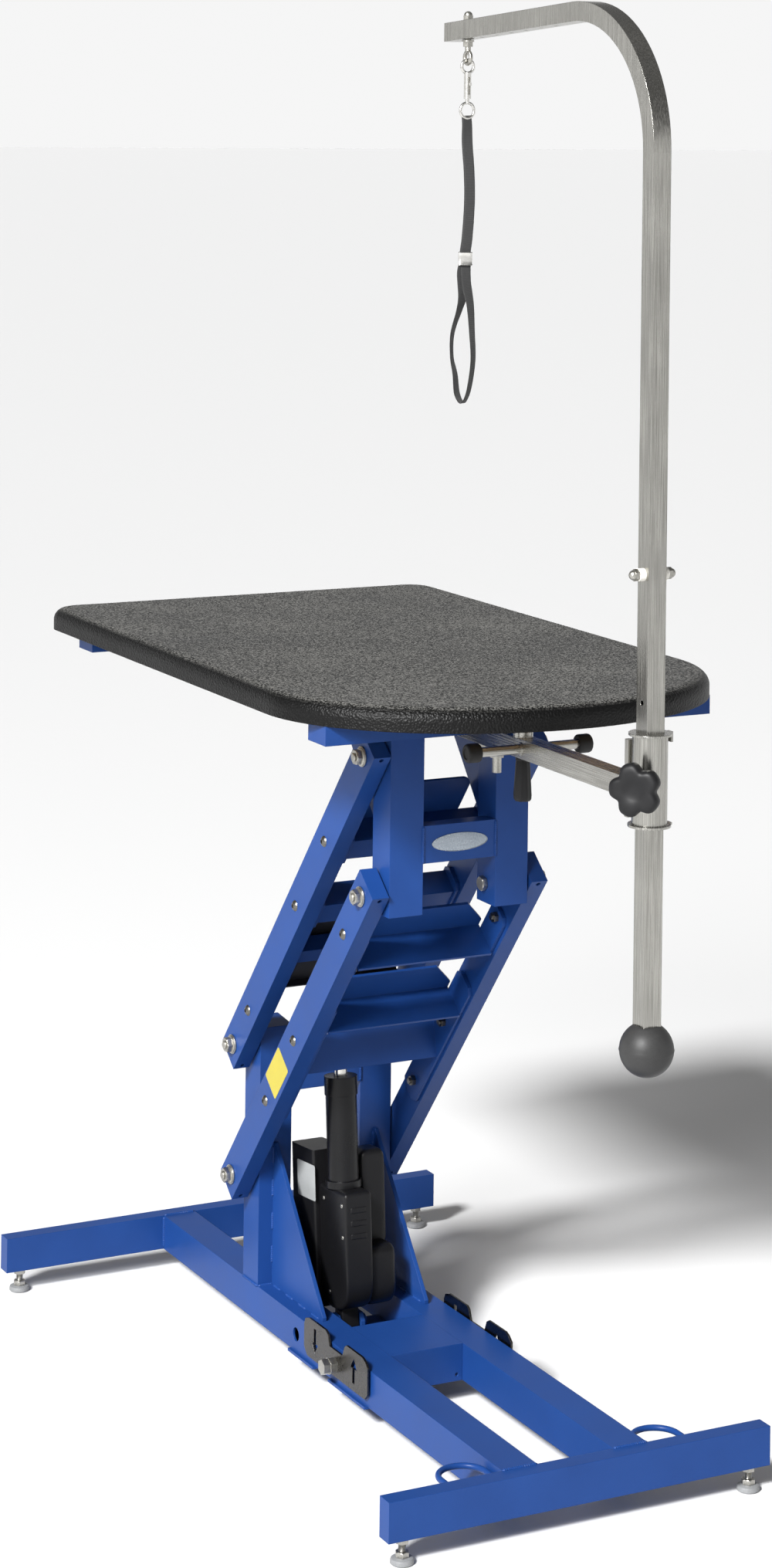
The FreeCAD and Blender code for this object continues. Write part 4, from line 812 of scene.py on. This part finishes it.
def lock_ring(z, grow):
    """The sleeve's rounded section at one height, its outline grown or shrunk."""
    sides = 48
    ring = []
    for k in range(sides):
        a = 2 * math.pi * k / sides
        c, s = math.cos(a), math.sin(a)
        u = math.copysign(abs(c) ** LOCK_SQUARENESS, c) * (LOCK_HALF_W + grow)
        v = math.copysign(abs(s) ** LOCK_SQUARENESS, s) * (LOCK_HALF_T + grow)
        ring.append(Vector((0, strap_y, z)) + wide * u + deep * v)
    return ring


LIP_LOW, LIP_HIGH = lock_low[2], lock_high[2]
lock_rings = []
for z, grow in ((LIP_LOW + 0.001, -0.0012), (LIP_LOW + 0.0003, -0.0004), (LIP_LOW, 0.0002),
                (LIP_LOW + 0.0008, 0.0008), (LIP_LOW + 0.0022, 0.0002), (LIP_HIGH - 0.0022, 0.0002),
                (LIP_HIGH - 0.0008, 0.0008), (LIP_HIGH, 0.0002), (LIP_HIGH - 0.0003, -0.0004),
                (LIP_HIGH - 0.001, -0.0012), (LIP_LOW + 0.001, -0.0012)):
    lock_rings.append(lock_ring(z, grow))
lock = ring_stack("noose_lock_sleeve", lock_rings, nickel, "slide_lock", smooth=50.0, caps=False)
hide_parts("noose_lock")


# ------------------------------------------------------------------ actuator
# The lift's motor unit: a ribbed moulded housing in four parts, a painted
# outer tube and a sheet-metal control box, all in a soft satin black.
case_black = finish("case_black", (0.0030, 0.0030, 0.0036), (0.0070, 0.0070, 0.0080), mix=0.5, patch=12.0,
                    grain=1000.0, rough=(0.34, 0.50), bump=0.25, depth=0.00012, edge=0.0015, gloss=0.25)
tube_black = finish("tube_black", (0.0030, 0.0030, 0.0036), (0.0070, 0.0070, 0.0080), mix=0.3, patch=12.0,
                    grain=700.0, rough=(0.26, 0.38), bump=0.08, depth=0.0001, edge=0.0010, gloss=0.25)
dress(case_black, "actuator_housing", "control_box")

tube_low, tube_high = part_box("actuator_tube")
rise = axes["actuator_stroke"].normalized()
if rise.z < 0:
    rise = -rise
back = Vector((0, rise.z, -rise.y))
foot = Vector(((tube_low[0] + tube_high[0]) / 2, pivots["actuator_tilt"].y, pivots["actuator_tilt"].z))


def on_motor(x, y, z):
    """A point of the lift unit: across, in depth and along it from its base pin, in millimetres."""
    return foot + Vector((x, 0, 0)) / 1000 + back * (y / 1000) + rise * (z / 1000)


def rounded_outline(corners):
    """A closed outline whose corners (y, z, radius) are eased round."""
    outline = []
    size = len(corners)
    for k in range(size):
        y, z, r = corners[k]
        here = Vector((y, z))
        to_last = (Vector(corners[k - 1][:2]) - here).normalized()
        to_next = (Vector(corners[(k + 1) % size][:2]) - here).normalized()
        start_at, end_at = here + to_last * r, here + to_next * r
        for step in range(9):
            t = step / 8
            outline.append(start_at * (1 - t) ** 2 + here * (2 * t * (1 - t)) + end_at * t ** 2)
    return outline


def moulded(name, x0, x1, corners, edge):
    """A moulding drawn by its side outline, its two faces' edges rolled over."""
    outline = rounded_outline(corners)
    middle = sum(outline, Vector((0, 0))) / len(outline)
    reach = max((p - middle).length for p in outline)
    rings = []
    for share, inset in ((0.0, 1.0), (0.08, 0.6), (0.3, 0.29), (0.6, 0.08), (1.0, 0.0)):
        rings.append((x0 + edge * share, edge * inset))
    for x, inset in [(x0 + x1 - a, b) for a, b in rings[::-1]]:
        rings.append((x, inset))
    skins = []
    for x, inset in rings:
        share = 1 - inset / reach
        skins.append([on_motor(x, *(middle + (p - middle) * share)) for p in outline])
    piece = ring_stack(name, skins, case_black, "actuator_body", smooth=50.0)
    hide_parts("actuator_housing")


moulded("motor_case", -22, 20, [(-49, 190, 6), (-49, 22, 46), (36, 22, 30), (36, 190, 4)], 5.0)
moulded("motor_gearbox", 18, 62, [(-40, 110, 16), (-40, 24, 30), (34, 24, 26), (34, 110, 10)], 9.0)
moulded("motor_can", 27, 64, [(-6, 236, 9), (-6, 104, 3), (34, 104, 3), (34, 236, 9)], 9.0)
moulded("motor_neck", -13, 13, [(-11, 26, 1), (-13.5, -13.5, 13), (13.5, -13.5, 13), (11, 26, 1)], 1.5)
CASE_FACE = -22
screw_profile = [(-0.0010, 0.0030), (0.0006, 0.0032), (0.0012, 0.0026), (0.0013, 0.0008)]
for index, (y, z) in enumerate(((-38, 172), (-38, 128), (20, 172), (8, 44))):
    head = turned("case_screw_%d" % index, on_motor(CASE_FACE, y, z), (-1, 0, 0), screw_profile, zinc,
                  "actuator_body", sides=24)
    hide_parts("actuator_housing")
RIB_HALF = 4
for index, z in enumerate((166, 148, 130)):
    rib_corners = [(-50.0, z + RIB_HALF, 1.2), (-50.0, z - RIB_HALF, 1.2), (-44, z - RIB_HALF, 0.5),
                   (-44, z + RIB_HALF, 0.5)]
    moulded("case_rib_%d" % index, -14, 12, rib_corners, 3.0)
dress(tube_black, "actuator_tube")


# ---------------------------------------------------------------------- feet
# Four levelling feet: a grey nylon pad, a hexagon for the spanner and a
# threaded M10 stud up into the tube.
pad_grey = finish("foot_nylon", (0.16, 0.165, 0.17), (0.25, 0.255, 0.26), patch=40.0, grain=700.0,
                  rough=(0.4, 0.55), bump=0.2, edge=0.0008)
PAD_TOP, HEX_TOP = 0.0080, 0.0150
for key in ("front_left", "front_right", "rear_left", "rear_right"):
    low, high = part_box("foot_" + key)
    at = Vector(((low[0] + high[0]) / 2, (low[1] + high[1]) / 2, 0.0))
    radius = (high[0] - low[0]) / 2
    body = "foot_" + key[0] + key.split("_")[1][0]
    pad_profile = [(0.0, radius * 0.80), (0.0, radius * 0.94), (0.0008, radius), (0.0045, radius),
                   (0.0065, radius * 0.94), (PAD_TOP, radius * 0.70), (PAD_TOP, radius * 0.30)]
    pad = turned("pad_" + key, at, (0, 0, 1), pad_profile, pad_grey, body, sides=48)
    spanner = hexagonal("spanner_" + key, at, (0, 0, 1), 0.016, PAD_TOP, HEX_TOP, zinc, body, 0.4)
    stud_profile = thread_profile(HEX_TOP, high[2], 0.005, 0.0015, 0.0007)
    stud = turned("stud_" + key, at, (0, 0, 1), stud_profile, zinc, body)
    for piece in (pad, spanner, stud):
        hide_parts("foot_" + key)


# ------------------------------------------------------------- blank badges
# A domed oval badge with a raised rim on the upper bar, and plain labels on
# the control box and the left lower link. None of them carries words.
badge_low, badge_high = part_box("name_plate")
badge_at = Vector(((badge_low[0] + badge_high[0]) / 2, badge_high[1], (badge_low[2] + badge_high[2]) / 2))
BADGE_W = (badge_high[0] - badge_low[0]) / 2
BADGE_H = (badge_high[2] - badge_low[2]) / 2
silver = finish("badge_silver", (0.20, 0.24, 0.29), (0.40, 0.44, 0.48), mix=0.6, patch=20.0, grain=400.0,
                rough=(0.18, 0.30), metal=0.8, bump=0.05, edge=0.0)
rings = []
BADGE_SIDES = 96
for share, proud in ((1.0, 0.0), (1.0, 0.0009), (0.985, 0.0012), (0.95, 0.0012), (0.94, 0.0007),
                     (0.86, 0.0009), (0.60, 0.0011), (0.30, 0.0012), (0.02, 0.0012)):
    ring = []
    for k in range(BADGE_SIDES):
        a = 2 * math.pi * k / BADGE_SIDES
        inset = (1.0 - share) * BADGE_H
        u = (BADGE_W - inset) * math.cos(a) if share > 0.9 else BADGE_W * share * math.cos(a)
        v = (BADGE_H - inset) * math.sin(a) if share > 0.9 else BADGE_H * share * math.sin(a)
        ring.append(badge_at + Vector((u, -proud, v)))
    rings.append(ring)
badge = ring_stack("badge_oval", rings, silver, "upper_frame", smooth=30.0)
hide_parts("name_plate")


def flat_label(name, corner, across_it, up_it, lift_off, material, body, radius=0.003):
    """A thin rounded rectangle stuck on a face."""
    across_it, up_it = Vector(across_it), Vector(up_it)
    u, v = across_it.normalized(), up_it.normalized()
    w, h = across_it.length, up_it.length
    out = Vector(lift_off)
    edge = []
    for cx, cy, start in ((w - radius, h - radius, 0), (radius, h - radius, 90), (radius, radius, 180),
                          (w - radius, radius, 270)):
        for k in range(5):
            a = math.radians(start + 22.5 * k)
            edge.append(Vector(corner) + u * (cx + radius * math.cos(a)) + v * (cy + radius * math.sin(a)))
    ring_stack(name, [edge, [p + out for p in edge]], material, body, smooth=30.0)


yellow = finish("label_yellow", (0.36, 0.30, 0.025), (0.44, 0.37, 0.04), patch=30.0, grain=500.0,
                rough=(0.35, 0.5), bump=0.05, edge=0.0)
white = finish("label_white", (0.27, 0.28, 0.28), (0.35, 0.36, 0.36), patch=30.0, grain=500.0,
               rough=(0.35, 0.5), bump=0.05, edge=0.0)
along_link = (levelling - lift).normalized()
square_to = Vector((0, -along_link.z, along_link.y))
LABEL_LONG, LABEL_WIDE, LABEL_FROM, LABEL_SHIFT = 0.065, 0.042, 0.206, 0.0025
label_at = lift + along_link * LABEL_FROM - square_to * (LABEL_WIDE / 2 + LABEL_SHIFT)
LABEL_PROUD = (-0.0004, 0, 0)
flat_label("link_label", (-LINK_OUT, label_at.y, label_at.z), along_link * LABEL_LONG, square_to * LABEL_WIDE,
           LABEL_PROUD, yellow, "lower_links")

case_low, case_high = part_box("control_box")
RATING_WIDE, RATING_TALL = 0.058, 0.050
rating_at = Vector((case_low[0], case_low[1] + 0.012, case_high[2] - 0.020)) - rise * RATING_TALL
flat_label("rating_label", rating_at, back * RATING_WIDE, rise * RATING_TALL, LABEL_PROUD, white,
           "actuator_body")
